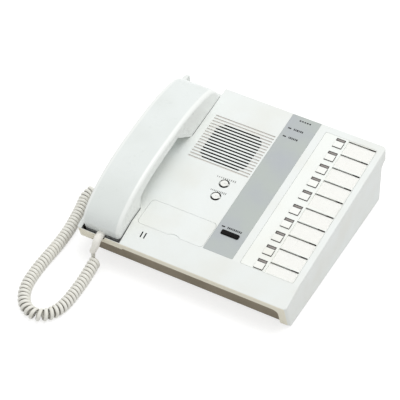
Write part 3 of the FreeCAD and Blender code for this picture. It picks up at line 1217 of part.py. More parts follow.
def make_handset_shells():
    """Upper and lower shells of the handset."""
    shell = handset_shell()
    top = shell.common(parting_tool(0.0))
    bottom = cut(shell, [parting_tool(-0.15)])
    boot_hole = Part.makeCylinder(BOOT_TOP / 2 + 0.2, 12.0, V(HANDSET_X, FRONT + 11.0, BOOT_Z), V(0, -1, 0))
    ring = cut(Part.makeCylinder(RECEIVER_DIAMETER / 2 + 1.5, 4.0, V(0, 0, HANDSET_WALL - 0.1)),
               [Part.makeCylinder(RECEIVER_DIAMETER / 2 + 0.1, 6.0, V(0, 0, HANDSET_WALL - 0.2))])
    extra = [placed(ring, ear_frame())]
    mic = HANDSET_WALL + CAP_BOTTOM
    extra.append(cut(cylinder(HANDSET_X, MOUTH_CENTRE_Y, mic - 0.1, mic + 4.0, MIC_DIAMETER + 3.2),
                     [cylinder(HANDSET_X, MOUTH_CENTRE_Y, mic - 0.2, mic + 5.0, MIC_DIAMETER + 0.2)]))
    screw_tools = []
    top_extra = []
    for y in HANDSET_BOSSES:
        floor = boss_floor(y)
        joint = floor + 14.0
        extra.append(cylinder(HANDSET_X, y, floor + 0.5, joint - 0.1, BOSS_DIAMETER))
        column = cylinder(HANDSET_X, y, joint, HANDSET_ABOVE, BOSS_DIAMETER)
        top_extra.append(column.common(handset_form()))
        screw_tools.append(cylinder(HANDSET_X, y, floor - 2.0, floor + 24.0, 2.5))
        screw_tools.append(cylinder(HANDSET_X, y, floor - 2.0, floor + 3.0, SCREW_HEAD))
    top = cut(fuse([top] + top_extra), [boot_hole] + screw_tools)
    slots = [block(HANDSET_X - 6.0, HANDSET_X + 6.0, MOUTH_CENTRE_Y + 3.0 * i - 0.7, MOUTH_CENTRE_Y + 3.0 * i + 0.7,
                   CAP_BOTTOM - 1, CAP_BOTTOM + HANDSET_WALL + 1) for i in (-1, 0, 1)]
    bottom = cut(fuse([bottom] + extra), slots + ear_hole_tools() + [boot_hole] + screw_tools)
    return top, bottom


def make_receiver():
    """Receiver capsule above the earpiece's sound holes."""
    body = Part.makeCylinder(RECEIVER_DIAMETER / 2, RECEIVER_HEIGHT - 3.0, V(0, 0, HANDSET_WALL + FLUSH))
    back = Part.makeCylinder(RECEIVER_DIAMETER / 2 - 6.0, 3.0, V(0, 0, HANDSET_WALL + RECEIVER_HEIGHT - 3.0))
    return placed(fuse([body, back]), ear_frame())


def make_handset_mic():
    """Microphone capsule in the mouthpiece."""
    floor = CAP_BOTTOM + HANDSET_WALL + FLUSH
    return cylinder(HANDSET_X, MOUTH_CENTRE_Y, floor, floor + MIC_HEIGHT, MIC_DIAMETER)


def make_handset_screws():
    """Two screws from below that hold the handset's shells together."""
    screws = []
    for y in HANDSET_BOSSES:
        floor = boss_floor(y)
        seat = floor + 3.0 - FLUSH
        head = cylinder(HANDSET_X, y, seat - 1.6, seat, SCREW_HEAD - 0.4)
        shank = cylinder(HANDSET_X, y, seat - 0.1, floor + 22.0, 2.4)
        screws.append(fuse([head, shank]))
    return screws


def make_cord_boot():
    """Tapered strain relief that leaves the handset's nose and turns down over the lip."""
    drop = BOOT_Z - BOOT_END_Z
    stations = ((0.0, 3.5, 0.0, 0, BOOT_TOP), (0.0, 2.0, 0.0, 0, BOOT_TOP),
                (-0.3, -1.8, 0.082 * drop, 35, BOOT_TOP - 0.2), (-0.9, -4.4, 0.288 * drop, 66, BOOT_TOP - 0.5),
                (-1.7, -5.4, 0.565 * drop, 84, BOOT_TOP - 0.8), (-2.9, -5.8, 0.776 * drop, 89, BOOT_TOP - 1.1),
                (LEAD_SHIFT, LEAD_Y - FRONT, drop, 90, BOOT_TIP))
    rings = []
    for dx, dy, fall, turn, diameter in stations:
        angle = math.radians(turn)
        axis = V(0, -math.cos(angle), -math.sin(angle))
        circle = Part.makeCircle(diameter / 2, V(HANDSET_X + dx, FRONT + dy, BOOT_Z - fall), axis)
        rings.append(Part.Wire(circle))
    root = V(HANDSET_X, FRONT + 9.5, BOOT_Z)
    sleeve = Part.makeCylinder(BOOT_TOP / 2, 6.0, root, V(0, -1, 0))
    flange = Part.makeCylinder(BOOT_TOP / 2 + 0.9, 1.2, root, V(0, -1, 0))
    return fuse([Part.makeLoft(rings, True, False), sleeve, flange])


# ---------------------------------------------------------------- cord
BOOT_END_Z = 18.0
LEAD_SHIFT = -4.2
LEAD_X = HANDSET_X + LEAD_SHIFT
LEAD_Y = FRONT - 5.8
COIL_Z = COIL_DIAMETER / 2 + 0.2
LEAD_ROUTE = ((LEAD_X, LEAD_Y, BOOT_END_Z - FLUSH), (LEAD_X, LEAD_Y, 11.0), (LEAD_X + 0.2, -114.3, 6.2),
              (LEAD_X + 0.6, -118.2, 4.7))
COIL_ROUTE = ((-85.5, -116.0, COIL_Z), (-79.0, -148.0, COIL_Z), (-82.5, -185.0, COIL_Z), (-101.5, -199.0, COIL_Z),
              (-121.5, -188.0, COIL_Z), (-131.0, -152.0, COIL_Z), (-130.2, -98.0, COIL_Z),
              (-137.5, -58.0, COIL_Z), (-141.5, -32.0, COIL_Z))
TAIL_ROUTE = ((-141.5, -32.0, COIL_Z), (-136.5, -19.5, COIL_Z - 1.5), (-128.5, -7.0, 7.5),
              (-117.0, JACK_Y, JACK_Z), (BASE_LEFT - 9.0 - FLUSH, JACK_Y, JACK_Z))


def cord_tube(route, diameter, name, tightest=0.0):
    """Round tube along straight runs joined by tangent arcs."""
    points = [V(*p) for p in route]
    edges = []
    start = points[0]
    radii = []
    for i in range(1, len(points) - 1):
        before = points[i - 1] - points[i]
        after = points[i + 1] - points[i]
        turn = math.pi - before.getAngle(after)
        reach = 0.45 * min(before.Length, after.Length)
        radii.append(reach / math.tan(turn / 2))
        u = V(before).normalize()
        w = V(after).normalize()
        first = points[i] + u * reach
        last = points[i] + w * reach
        bisector = (u + w).normalize()
        to_centre = radii[-1] / math.cos(turn / 2)
        middle = points[i] + bisector * (to_centre - radii[-1])
        edges.append(Part.LineSegment(start, first).toShape())
        edges.append(Part.Arc(first, middle, last).toShape())
        start = last
    edges.append(Part.LineSegment(start, points[-1]).toShape())
    path = Part.Wire(edges)
    circle = Part.makeCircle(diameter / 2, points[0], points[1] - points[0])
    tube = path.makePipeShell([Part.Wire(circle)], True, True)
    if tube.Volume < 0:
        tube.reverse()
    section = math.pi * diameter ** 2 / 4
    print("%s: length %.1f, radii %s, volume %.0f against %.0f" % (
        name, path.Length, " ".join("%.1f" % r for r in radii), tube.Volume, section * path.Length))
    return tube


def main():
    """Build and write every node."""
    os.makedirs("parts", exist_ok=True)
    write("top_cover", make_top_cover())
    write("base_cover", make_base_cover())
    write("rubber_feet", make_feet())
    write("base_screws", make_base_screws())
    write("control_strip", make_control_strip())
    write("strip_lamp_windows", make_strip_lamps())
    write("transfer_button", make_transfer_button())
    write("key_panel", make_key_panel())
    write("station_lamp_lenses", make_lamp_lenses())
    write("name_cards", make_name_cards())
    write("card_windows", make_card_windows())
    for row in range(KEY_ROWS):
        write("key_%02d" % (row + 1), make_key(row))
    write("blank_cover_plate", make_cover_plate())
    for name, station in zip(("speaker_volume", "handset_volume"), KNOB_STATIONS):
        write(name + "_knob", make_knob(station))
        write(name + "_shaft", make_knob_shaft(station))
    write("volume_potentiometers", [make_volume_control(t) for t in KNOB_STATIONS])
    write("speaker_frame", make_speaker_frame())
    write("speaker_cone", make_speaker_cone())
    write("speaker_magnet", make_speaker_magnet())
    write("speaker_screws", make_speaker_screws())
    write("key_board", make_key_board())
    write("main_board", make_main_board())
    write("board_screws", make_board_screws())
    write("key_switches", make_key_switches())
    write("transfer_switch", make_transfer_switch())
    write("station_lamps", make_station_lamps())
    write("strip_lamps", make_strip_leds())
    write("board_parts", make_board_parts())
    write("line_transformer", make_line_transformer())
    write("microphone_boot", make_mic_rubber())
    write("microphone_capsule", make_mic_capsule())
    write("hook_switch", make_hook_switch())
    write("hook_plunger", make_hook_plunger())
    write("handset_jack", make_handset_jack())
    write("cord_plug", make_cord_plug())
    write("terminal_block", make_terminal_block())
    write("terminal_screws", make_terminal_screws())
    upper, lower = make_handset_shells()
    write("handset_top_shell", upper)
    write("handset_bottom_shell", lower)
    write("handset_receiver", make_receiver())
    write("handset_microphone", make_handset_mic())
    write("handset_screws", make_handset_screws())
    write("cord_boot", make_cord_boot())
    write("cord_lead", cord_tube(LEAD_ROUTE, CORD_DIAMETER, "lead"))
    write("curly_cord", cord_tube(COIL_ROUTE, COIL_DIAMETER, "curly cord"))
    write("cord_tail", cord_tube(TAIL_ROUTE, CORD_DIAMETER, "tail"))
    for name, shape in WRITTEN:
        solids = shape.Solids
        print("%-22s %2d solid(s) valid %s volume %.0f" % (
            name, len(solids), shape.isValid(), sum(s.Volume for s in solids)))


main()
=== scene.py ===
"""Desk intercom: finishes, curly cord, fine fittings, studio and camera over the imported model."""
import logging
import math
from bisect import bisect_right
from collections.abc import Callable, Mapping, Sequence
from dataclasses import dataclass
from enum import Enum
from functools import cached_property
from itertools import accumulate

import bmesh
import bpy
from bmesh.types import BMesh, BMVert
from bpy.types import ID, Material, Mesh, Node, NodeSocket, Object
from mathutils import Matrix, Vector


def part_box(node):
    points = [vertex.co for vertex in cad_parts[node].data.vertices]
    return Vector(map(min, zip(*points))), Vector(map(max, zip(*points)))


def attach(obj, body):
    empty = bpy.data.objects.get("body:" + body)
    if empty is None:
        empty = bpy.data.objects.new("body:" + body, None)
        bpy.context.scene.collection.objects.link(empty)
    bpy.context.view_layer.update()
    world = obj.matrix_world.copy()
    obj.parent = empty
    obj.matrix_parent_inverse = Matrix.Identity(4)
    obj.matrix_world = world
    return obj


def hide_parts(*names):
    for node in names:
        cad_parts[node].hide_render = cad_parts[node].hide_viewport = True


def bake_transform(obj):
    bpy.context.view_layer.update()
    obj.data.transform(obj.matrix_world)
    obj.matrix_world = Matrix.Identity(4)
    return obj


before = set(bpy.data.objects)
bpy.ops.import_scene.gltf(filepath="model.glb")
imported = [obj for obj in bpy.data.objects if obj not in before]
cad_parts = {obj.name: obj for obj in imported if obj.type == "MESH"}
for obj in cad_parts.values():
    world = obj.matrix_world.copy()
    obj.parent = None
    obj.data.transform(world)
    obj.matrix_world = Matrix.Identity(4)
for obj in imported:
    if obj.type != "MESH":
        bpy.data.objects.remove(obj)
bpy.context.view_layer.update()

LOG = logging.getLogger("intercom")
MM = 0.001
SHARP_ANGLE = 35.0
CURVE_STEPS = 2
WELD = 1e-6
Pair = tuple[float, float]
Triple = tuple[float, float, float]
Route = tuple[Triple, ...]
Swatch = int | Triple
WHITE: Swatch = 0xFFFFFF


def linear_colour(swatch: Swatch) -> Triple:
    """Linear colour of a display value such as 0xFFEEDD; three numbers stay as they are."""

    def linear(level: int) -> float:
        """Linear share of one display level."""
        share = level / 255
        return share / 12.92 if share <= 0.04045 else ((share + 0.055) / 1.055) ** 2.4

    return tuple(linear(level) for level in swatch.to_bytes(3, "big")) if isinstance(swatch, int) else swatch


# ---- shader graph
def operator(operation: str, swapped: bool = False) -> Callable[["Value", object], "Value"]:
    """Method that puts a value and another operand, which comes first if swapped, through a Math node."""

    def method(self: "Value", other: object) -> "Value":
        """Result on two operands."""
        first, second = (other, self) if swapped else (self, other)
        made = self.graph.node("ShaderNodeMath", {"operation": operation}, {0: first, 1: second})
        return Value(self.graph, made.outputs[0])

    return method


class Value:
    """A number on a socket that takes part in ordinary arithmetic."""

    def __init__(self, graph: "Graph", socket: NodeSocket) -> None:
        """Wrap one output socket of a graph."""
        self.graph = graph
        self.socket = socket

    __add__ = operator("ADD")
    __radd__ = operator("ADD", True)
    __sub__ = operator("SUBTRACT")
    __rsub__ = operator("SUBTRACT", True)
    __mul__ = operator("MULTIPLY")
    __rmul__ = operator("MULTIPLY", True)
    smaller = operator("MINIMUM")
    larger = operator("MAXIMUM")
    _absolute = operator("ABSOLUTE")
    _sine = operator("SINE")

    def __abs__(self) -> "Value":
        """Distance from zero."""
        return self._absolute(0.0)

    def wave(self, period: float) -> "Value":
        """Sine from -1 to 1 that repeats over a period."""
        return (self * (2 * math.pi / period))._sine(0.0)

    def rise(self, low: float, high: float) -> "Value":
        """Smooth step from 0 at one value to 1 at another; it falls where high is below low."""
        made = self.graph.node("ShaderNodeMapRange", {"interpolation_type": "SMOOTHSTEP"},
                               {"Value": self, "From Min": low, "From Max": high})
        return Value(self.graph, made.outputs[0])

    def within(self, low: float, high: float, soft: float) -> "Value":
        """1 between two values, with soft edges inside them."""
        return self.rise(low, low + soft) * self.rise(high, high - soft)

    def near(self, middle: float, half: float, soft: float) -> "Value":
        """1 round a middle value, with soft edges inside half a width each way."""
        return abs(self - middle).rise(half, half - soft)


class Graph:
    """Node tree of one material or world."""

    def __init__(self, owner: ID) -> None:
        """Start the material or world with no nodes."""
        self.owner = owner
        owner.use_nodes = True
        self.tree = owner.node_tree
        self.tree.nodes.clear()
        self.place = self.node("ShaderNodeTexCoord").outputs["Object"]

    def node(self, kind: str, settings: Mapping[str, object] | None = None,
             sockets: Mapping[object, object] | None = None) -> Node:
        """Add any node.

        Args:
            kind: The node's Blender type.
            settings: Its own settings, set first.
            sockets: What its inputs take, by name or number.

        Returns:
            The new node.
        """
        made = self.tree.nodes.new(kind)
        for key, value in (settings or {}).items():
            setattr(made, key, value)
        for key, value in (sockets or {}).items():
            self.feed(made.inputs[key], value)
        return made

    def feed(self, target: NodeSocket, value: object) -> None:
        """Set one input socket to a number or a colour, or link it to a Value or a socket."""
        if isinstance(value, Value):
            value = value.socket
        if isinstance(value, NodeSocket):
            self.tree.links.new(value, target)
        elif target.type == "RGBA":
            target.default_value = (*linear_colour(value), 1.0)
        else:
            target.default_value = value

    def axes(self, vector: object = None) -> tuple[Value, Value, Value]:
        """The three parts of a vector, the object's own place by default."""
        made = self.node("ShaderNodeSeparateXYZ", None, {0: vector or self.place})
        return tuple(Value(self, part) for part in made.outputs)

    def noise(self, size: float, detail: float = 2.0, vector: object = None, rough: float = 0.5) -> Value:
        """Smooth noise from 0 to 1 with features of a size in metres, read at a vector or the own place."""
        sockets = {"Vector": vector or self.place, "Scale": 1.0 / size, "Detail": detail, "Roughness": rough}
        return Value(self, self.node("ShaderNodeTexNoise", None, sockets).outputs[0])

    def cells(self, size: float) -> Value:
        """Distance to the nearest of scattered points, with cells of a size in metres."""
        made = self.node("ShaderNodeTexVoronoi", None, {"Vector": self.place, "Scale": 1.0 / size})
        return Value(self, made.outputs["Distance"])

    def stretched(self, factors: Triple, turn: Triple = (0, 0, 0)) -> NodeSocket:
        """The object's own place, turned and scaled, for a pattern with a direction."""
        sockets = {"Vector": self.place, "Rotation": turn, "Scale": factors}
        return self.node("ShaderNodeMapping", None, sockets).outputs[0]

    def mix(self, factor: object, first: object, second: object) -> NodeSocket:
        """Colour between two colours, the first where the factor is 0 and the second where it is 1."""
        made = self.node("ShaderNodeMix", {"data_type": "RGBA"}, {0: factor, 6: first, 7: second})
        return made.outputs[2]

    def bump(self, height: Value, depth: float, under: object = None) -> NodeSocket:
        """Relief of a depth in metres, on top of another relief where one is given."""
        sockets = {"Height": height, "Distance": depth, "Strength": 1.0}
        if under is not None:
            sockets["Normal"] = under
        return self.node("ShaderNodeBump", None, sockets).outputs[0]

    def surface(self, colour: object, rough: object, relief: object, gloss: float = 0.5,
                **more: object) -> Material:
        """Close the graph with a Principled shader.

        Args:
            colour: Its base colour.
            rough: Its roughness.
            relief: Its bumped normal.
            gloss: Its specular level.
            **more: Other inputs, with underscores for spaces.

        Returns:
            The finished material.
        """
        sockets = {"Base Color": colour, "Roughness": rough, "Normal": relief, "Specular IOR Level": gloss}
        sockets.update((key.replace("_", " "), value) for key, value in more.items())
        shader = self.node("ShaderNodeBsdfPrincipled", None, sockets)
        self.node("ShaderNodeOutputMaterial", None, {"Surface": shader.outputs[0]})
        return self.owner


# ---- sloping surfaces
BEND_Y = -79 * MM
BEND_HEIGHT = 42.4 * MM
KNOB_X = -8.1 * MM
KNOB_STATIONS = (77.1 * MM, 60.2 * MM)
FACING = "facing"


@dataclass(frozen=True)
class Slope:
    """A flat face that rises backwards through the bend where the panel meets the front slope."""

    run: float
    rise: float

    @property
    def angle(self) -> float:
        """Slope in radians."""
        return math.atan2(self.rise, self.run)

    @property
    def place(self) -> Matrix:
        """Matrix to the set from x to the right, t up the slope from the bend and n out of the face."""
        return Matrix.Translation((0, BEND_Y, BEND_HEIGHT)) @ Matrix.Rotation(self.angle, 4, "X")

    def along(self, y: Value, z: Value) -> Value:
        """Distance up the slope from the bend."""
        return (y - BEND_Y) * math.cos(self.angle) + (z - BEND_HEIGHT) * math.sin(self.angle)

    def depth(self, y: Value, z: Value) -> Value:
        """Depth below the face, negative above it."""
        return (y - BEND_Y) * math.sin(self.angle) - (z - BEND_HEIGHT) * math.cos(self.angle)


PANEL = Slope(run=184.0 * MM, rise=21.2 * MM)
FRONT = Slope(run=26.0 * MM, rise=8.0 * MM)


# ---- finishes
@dataclass(frozen=True)
class Recipe:
    """What every finish starts from: its colour and a second colour that it wanders to."""

    colour: Swatch
    second: Swatch

    def shader(self, graph: Graph) -> Material:
        """Fill a material's graph."""
        raise NotImplementedError


@dataclass(frozen=True)
class MouldedPlastic(Recipe):
    """Injection-moulded plastic: fine eroded grain, faint flow marks and a rubbed sheen."""

    rough: float = 0.42
    grain: float = 0.5 * MM
    relief: float = 0.006 * MM
    gloss: float = 0.45

    def shade(self, graph: Graph) -> NodeSocket:
        """Colour of the plastic, with clouds and specks of the second colour."""
        cloud = graph.noise(45 * MM, 3.0).rise(0.35, 0.75)
        speck = graph.noise(1.1 * MM).rise(0.62, 0.8) * 0.35
        return graph.mix(speck, graph.mix(cloud, self.colour, self.second), self.second)

    def shader(self, graph: Graph) -> Material:
        """Shader with the sheen rubbed over the grain."""
        rubbed = graph.noise(14 * MM, 4.0).rise(0.3, 0.7)
        fine = graph.noise(self.grain)
        rough = self.rough + (rubbed - 0.5) * 0.07 + (fine - 0.5) * 0.06
        return graph.surface(self.shade(graph), rough, graph.bump(fine, self.relief), self.gloss)


@dataclass(frozen=True, kw_only=True)
class ShellPlastic(MouldedPlastic):
    """The upper housing's plastic: painted warm shade makes its leaning front beige, and painted shade
    darkens its slots, wells and pockets.
    """

    # Colours of painted shade: the front's warm beige, the slots' and wells' near black, the grooves' grey
    # and the pockets' dark.
    front: Swatch
    slot: Swatch
    groove_shade: Swatch
    pocket_shade: Swatch
    front_y: float = -105 * MM
    front_height: float = 34.4 * MM
    skin: float = 1.1 * MM
    edge: float = 0.1 * MM
    speaker: Triple = (-23.8 * MM, 120.0 * MM, 24.7 * MM)
    speaker_corner: float = 1.7
    grille: Triple = (-56.6 * MM, 9.0 * MM, 32.0 * MM)
    microphone: Pair = (-47.15 * MM, -9.5 * MM)
    microphone_half: Pair = (3.4 * MM, 4.0 * MM)
    pockets: Pair = (-105 * MM, -64 * MM)
    mouth_end: float = -60.5 * MM
    ear_start: float = 33.5 * MM
    rear_wall: float = 94.5 * MM
    well_radius: float = 5.3 * MM
    well_gap: Pair = (0.8 * MM, 1.4 * MM)

    def _speaker(self, x: Value, t: Value) -> Value:
        """Mask of the square with cut corners over the loudspeaker."""
        middle_x, middle_t, half = self.speaker
        off_x = abs(x - middle_x)
        off_t = abs(t - middle_t)
        corner = half * self.speaker_corner
        return (off_x.larger(off_t).rise(half + self.edge, half)
                * (off_x + off_t).rise(corner + self.edge, corner))

    def _grille(self, x: Value, t: Value) -> Value:
        """Mask of the whole slotted field round the loudspeaker."""
        left, right, half = self.grille
        return x.within(left, right, self.edge) * t.near(self.speaker[1], half, 0.5 * MM)

    def _microphone(self, x: Value, y: Value, z: Value) -> Value:
        """Mask of the inside of the two slots on the front slope."""
        (middle_x, middle_s), (half_x, half_s) = self.microphone, self.microphone_half
        return (x.near(middle_x, half_x, 0.2 * MM) * FRONT.along(y, z).near(middle_s, half_s, 0.2 * MM)
                * FRONT.depth(y, z).rise(0.15 * MM, 0.4 * MM))

    def _pockets(self, x: Value, y: Value, depth: Value, behind: Value) -> Value:
        """Mask of the painted shade in the two pockets that the handset's ends rest in, darker as they go
        down.
        """
        left, right = self.pockets
        ends = (y.rise(self.mouth_end + self.edge, self.mouth_end)
                .larger(y.rise(self.ear_start - self.edge, self.ear_start)))
        return (x.within(left - self.edge, right + self.edge, self.edge) * ends
                * depth.rise(0.5 * MM, 5 * MM) * behind.rise(self.skin, self.skin + self.edge)
                * y.rise(self.rear_wall + self.edge, self.rear_wall))

    def _wells(self, x: Value, t: Value) -> Value:
        """Mask of the knobs' wells, without the bar across each."""
        inside = self.well_radius ** 2
        middle, half = self.well_gap
        off_x = x - KNOB_X
        first, second = ((off_x * off_x + off * off).rise(inside, inside * 0.96)
                         * abs(off - middle).rise(half, half + self.edge)
                         for off in (t - station for station in KNOB_STATIONS))
        return first.larger(second)

    def shade(self, graph: Graph) -> NodeSocket:
        """White body colour, painted darker down the openings as shade, with painted warm shade making the
        front face beige.
        """
        x, y, z = graph.axes()
        t = PANEL.along(y, z)
        depth = PANEL.depth(y, z)
        behind = y - (self.front_y + (self.front_height - z) * math.tan(FRONT.angle))
        sunk = depth.rise(0.15 * MM, 0.45 * MM)
        dust = z.rise(9 * MM, 2 * MM) * graph.noise(6 * MM, 3.0).rise(0.4, 0.7) * 0.25
        colour = graph.mix(dust, super().shade(graph), self.second)
        # Painted warm shade: the leaning front face is tinted beige.
        colour = graph.mix(behind.rise(self.skin, 0.35 * MM), colour, self.front)
        # Painted shade down the handset's pockets, darker as they go down.
        colour = graph.mix(self._pockets(x, y, depth, behind), colour, self.pocket_shade)
        # Painted shade in the grooves of the slotted field round the loudspeaker.
        colour = graph.mix(self._grille(x, t) * sunk, colour, self.groove_shade)
        # Painted shade: the loudspeaker's and microphone's slots and the knobs' wells are coloured near
        # black.
        dark = (self._speaker(x, t) * sunk).larger(self._microphone(x, y, z))
        return graph.mix(dark.larger(self._wells(x, t) * depth.rise(0.05 * MM, 0.2 * MM)), colour, self.slot)


@dataclass(frozen=True, kw_only=True)
class GripPlastic(MouldedPlastic):
    """The handset's plastic: greyer over its crown and brighter down its sides as painted light, with a
    painted shadow line.
    """

    # Colours of the painted light down the sides and of the painted shadow line.
    side_light: Swatch
    line: Swatch
    middle_x: float = -84.5 * MM
    crown: float = 15.9 * MM
    side: float = 17.6 * MM
    line_top: float = 0.2 * MM
    line_foot: float = 1.4 * MM

    def shade(self, graph: Graph) -> NodeSocket:
        """Body colour over the crown, painted light in a brighter colour beyond its edges, a painted shadow
        line level with the panel.
        """
        x, y, z = graph.axes()
        # Painted light: the sides beyond the crown's edges are painted brighter than the crown, as the light
        # falls on them.
        out = abs(x - self.middle_x).rise(self.crown, self.side)
        # Painted shadow: a dark band just under the panel's level, where the handset's ends sink into their
        # pockets.
        depth = PANEL.depth(y, z).smaller(FRONT.depth(y, z))
        line = depth.within(self.line_top, self.line_foot, 0.15 * MM)
        return graph.mix(line, graph.mix(out, super().shade(graph), self.side_light), self.line)


@dataclass(frozen=True, kw_only=True)
class CapPlastic(MouldedPlastic):
    """Key plastic: a pale cap, with painted shade in a dark body colour on its sides below a height a little
    over the panel.
    """

    # Dark colour painted as shade on the sides, below a height a little over the panel.
    body: Swatch
    shade_height: float
    bars: tuple[float, ...] = ()
    bar_half: float = 1.5 * MM

    def shade(self, graph: Graph) -> NodeSocket:
        """Cap colour over the shade height and on the bars, the dark body colour below it as painted shade.
        """
        _, y, z = graph.axes()
        # Painted shade: the sides below that height take the dark body colour, as shadow lines beside each
        # key and round each knob.
        cap = PANEL.depth(y, z).rise(0.05 * MM - self.shade_height, -self.shade_height)
        for station in self.bars:
            cap = cap.larger(PANEL.along(y, z).near(station, self.bar_half, 0.2 * MM))
        return graph.mix(cap, self.body, super().shade(graph))


@dataclass(frozen=True)
class PrintedFilm(Recipe):
    """Silk-screened inlay: a flat satin colour with a very fine screen pattern."""

    rough: float = 0.36
    gloss: float = 0.5
    screen: float = 0.6 * MM

    def shader(self, graph: Graph) -> Material:
        """Shader with the screen's weave as relief."""
        x, y, _ = graph.axes()
        weave = x.wave(self.screen) * y.wave(self.screen)
        cloud = graph.noise(38 * MM, 3.0).rise(0.3, 0.75)
        worn = graph.noise(3 * MM, 4.0, graph.stretched((1.0, 0.25, 1.0)))
        relief = graph.bump(weave * 0.5 + graph.noise(0.7 * MM) * 0.5, 0.004 * MM)
        rough = self.rough + (worn - 0.5) * 0.12
        return graph.surface(graph.mix(cloud, self.colour, self.second), rough, relief, self.gloss)


@dataclass(frozen=True)
class CordSheath(Recipe):
    """Soft vinyl sheath of the curly cord: satin skin, handling marks, painted shade where its turns touch.
    """

    rough: float = 0.46
    # Colour of the painted shade between the turns.
    crease_shade: Swatch = 0x605850

    def shader(self, graph: Graph) -> Material:
        """Shader that is darker towards the floor, with painted shade between the turns."""
        # Darker towards the floor.
        low = graph.axes()[2].rise(5 * MM, 0.5 * MM) * 0.5
        marks = graph.noise(7 * MM, 4.0).rise(0.5, 0.8) * 0.45
        fine = graph.noise(0.6 * MM, 3.0)
        facing = Value(graph, graph.node("ShaderNodeAttribute", {"attribute_name": FACING}).outputs["Fac"])
        skin = graph.mix(low.larger(marks), self.colour, self.second)
        relief = graph.bump(fine, 0.02 * MM, graph.bump(graph.noise(3 * MM), 0.05 * MM))
        # Painted shade: the sheath darkens where it faces the next turn.
        return graph.surface(graph.mix(facing.rise(0.78, 0.99) * 0.7, skin, self.crease_shade),
                             self.rough + (fine - 0.5) * 0.14, relief, 0.45)


@dataclass(frozen=True)
class SmokedLens(Recipe):
    """Smoked window over a lamp, in the second colour in its middle, with painted shade darkening its edges.
    """

    def shader(self, graph: Graph) -> Material:
        """Shader that follows the lens's own map from 0 to 1 each way."""
        u, v, _ = graph.axes(graph.node("ShaderNodeTexCoord").outputs["UV"])
        # Painted shade: the lens darkens towards its edges, paler in the middle.
        middle = (abs(u - 0.5) * 2.0).rise(0.92, 0.72).smaller((abs(v - 0.5) * 2.0).rise(0.8, 0.3))
        prisms = (u.wave(1 / 7) * 0.5 + 0.5) * 0.35 + 0.65
        haze = graph.noise(1.5 * MM) * 0.25 + 0.85
        return graph.surface(graph.mix(middle * prisms * haze, self.colour, self.second),
                             0.3 + graph.noise(2 * MM, 3.0) * 0.12,
                             graph.bump(graph.noise(4 * MM), 0.01 * MM), 0.25,
                             Coat_Weight=0.12, Coat_Roughness=0.1)


@dataclass(frozen=True)
class ClearCover(Recipe):
    """Clear moulded cover with a very light creamy cast and hairline scratches."""

    second: Swatch = (1.0, 1.0, 0.98)
    cover: float = 0.04

    def shader(self, graph: Graph) -> Material:
        """Shader that is clear but for its scratches."""
        scratch = graph.noise(5 * MM, 5.0, graph.stretched((1.0, 0.04, 1.0), (0, 0, 0.4))).rise(0.66, 0.72)
        return graph.surface(graph.mix(graph.noise(20 * MM), self.colour, self.second),
                             0.12 + scratch * 0.25, graph.bump(graph.noise(9 * MM), 0.02 * MM),
                             Alpha=self.cover + scratch * 0.06, Coat_Weight=0.3, Coat_Roughness=0.05)


@dataclass(frozen=True)
class CardStock(Recipe):
    """Uncoated card with paper fibres in the second colour."""

    def shader(self, graph: Graph) -> Material:
        """Shader with the fibres as colour and relief."""
        fibres = graph.noise(0.8 * MM, 5.0, graph.stretched((1.0, 0.3, 1.0)), 0.7)
        return graph.surface(graph.mix(fibres.rise(0.5, 0.75), self.colour, self.second),
                             0.8 + fibres * 0.1, graph.bump(fibres, 0.02 * MM), 0.25)


@dataclass(frozen=True)
class Metal(Recipe):
    """Turned or stamped metal with fine tool marks and a trace of tarnish."""

    rough: float = 0.3

    def shader(self, graph: Graph) -> Material:
        """Shader with tool marks under spots of tarnish."""
        lines = graph.noise(0.25 * MM, 3.0, graph.stretched((1.0, 1.0, 0.1)))
        spots = graph.noise(2.2 * MM, 4.0).rise(0.52, 0.75)
        rough = self.rough + lines * 0.12 + spots * 0.15
        return graph.surface(graph.mix(spots * 0.6, self.colour, self.second), rough,
                             graph.bump(lines, 0.008 * MM), Metallic=1.0)


@dataclass(frozen=True)
class Sintered(Recipe):
    """Dull pressed material such as ferrite, paper pulp or rubber: grain, dust and low gloss."""

    rough: float = 0.7
    grain: float = 0.4 * MM

    def shader(self, graph: Graph) -> Material:
        """Shader with dust in the grain."""
        grain = graph.noise(self.grain, 4.0, rough=0.65)
        dust = graph.noise(9 * MM, 4.0).rise(0.45, 0.8)
        dusty = graph.mix(dust * 0.5 + grain.rise(0.55, 0.8) * 0.2, self.colour, self.second)
        return graph.surface(dusty, self.rough + grain * 0.15, graph.bump(grain, 0.03 * MM), 0.3)


@dataclass(frozen=True, kw_only=True)
class Laminate(Recipe):
    """Circuit board: solder mask over copper tracks in the second colour, with tinned pads."""

    tin: Swatch

    def shader(self, graph: Graph) -> Material:
        """Shader with wandering tracks and scattered pads."""
        x, y, _ = graph.axes()
        wander = graph.noise(16 * MM, 1.0) * (6 * MM)
        lines = (x + wander).wave(3.6 * MM).rise(0.2, 0.35)
        cross = (y + wander).wave(5.2 * MM).rise(0.7, 0.8)
        tracks = lines.larger(cross)
        pads = graph.cells(5 * MM).rise(0.16, 0.12)
        colour = graph.mix(pads, graph.mix(tracks, self.colour, self.second), self.tin)
        return graph.surface(colour, 0.35 + pads * 0.1 + graph.noise(4 * MM) * 0.1,
                             graph.bump(tracks.larger(pads), 0.03 * MM), Metallic=pads * 0.8)


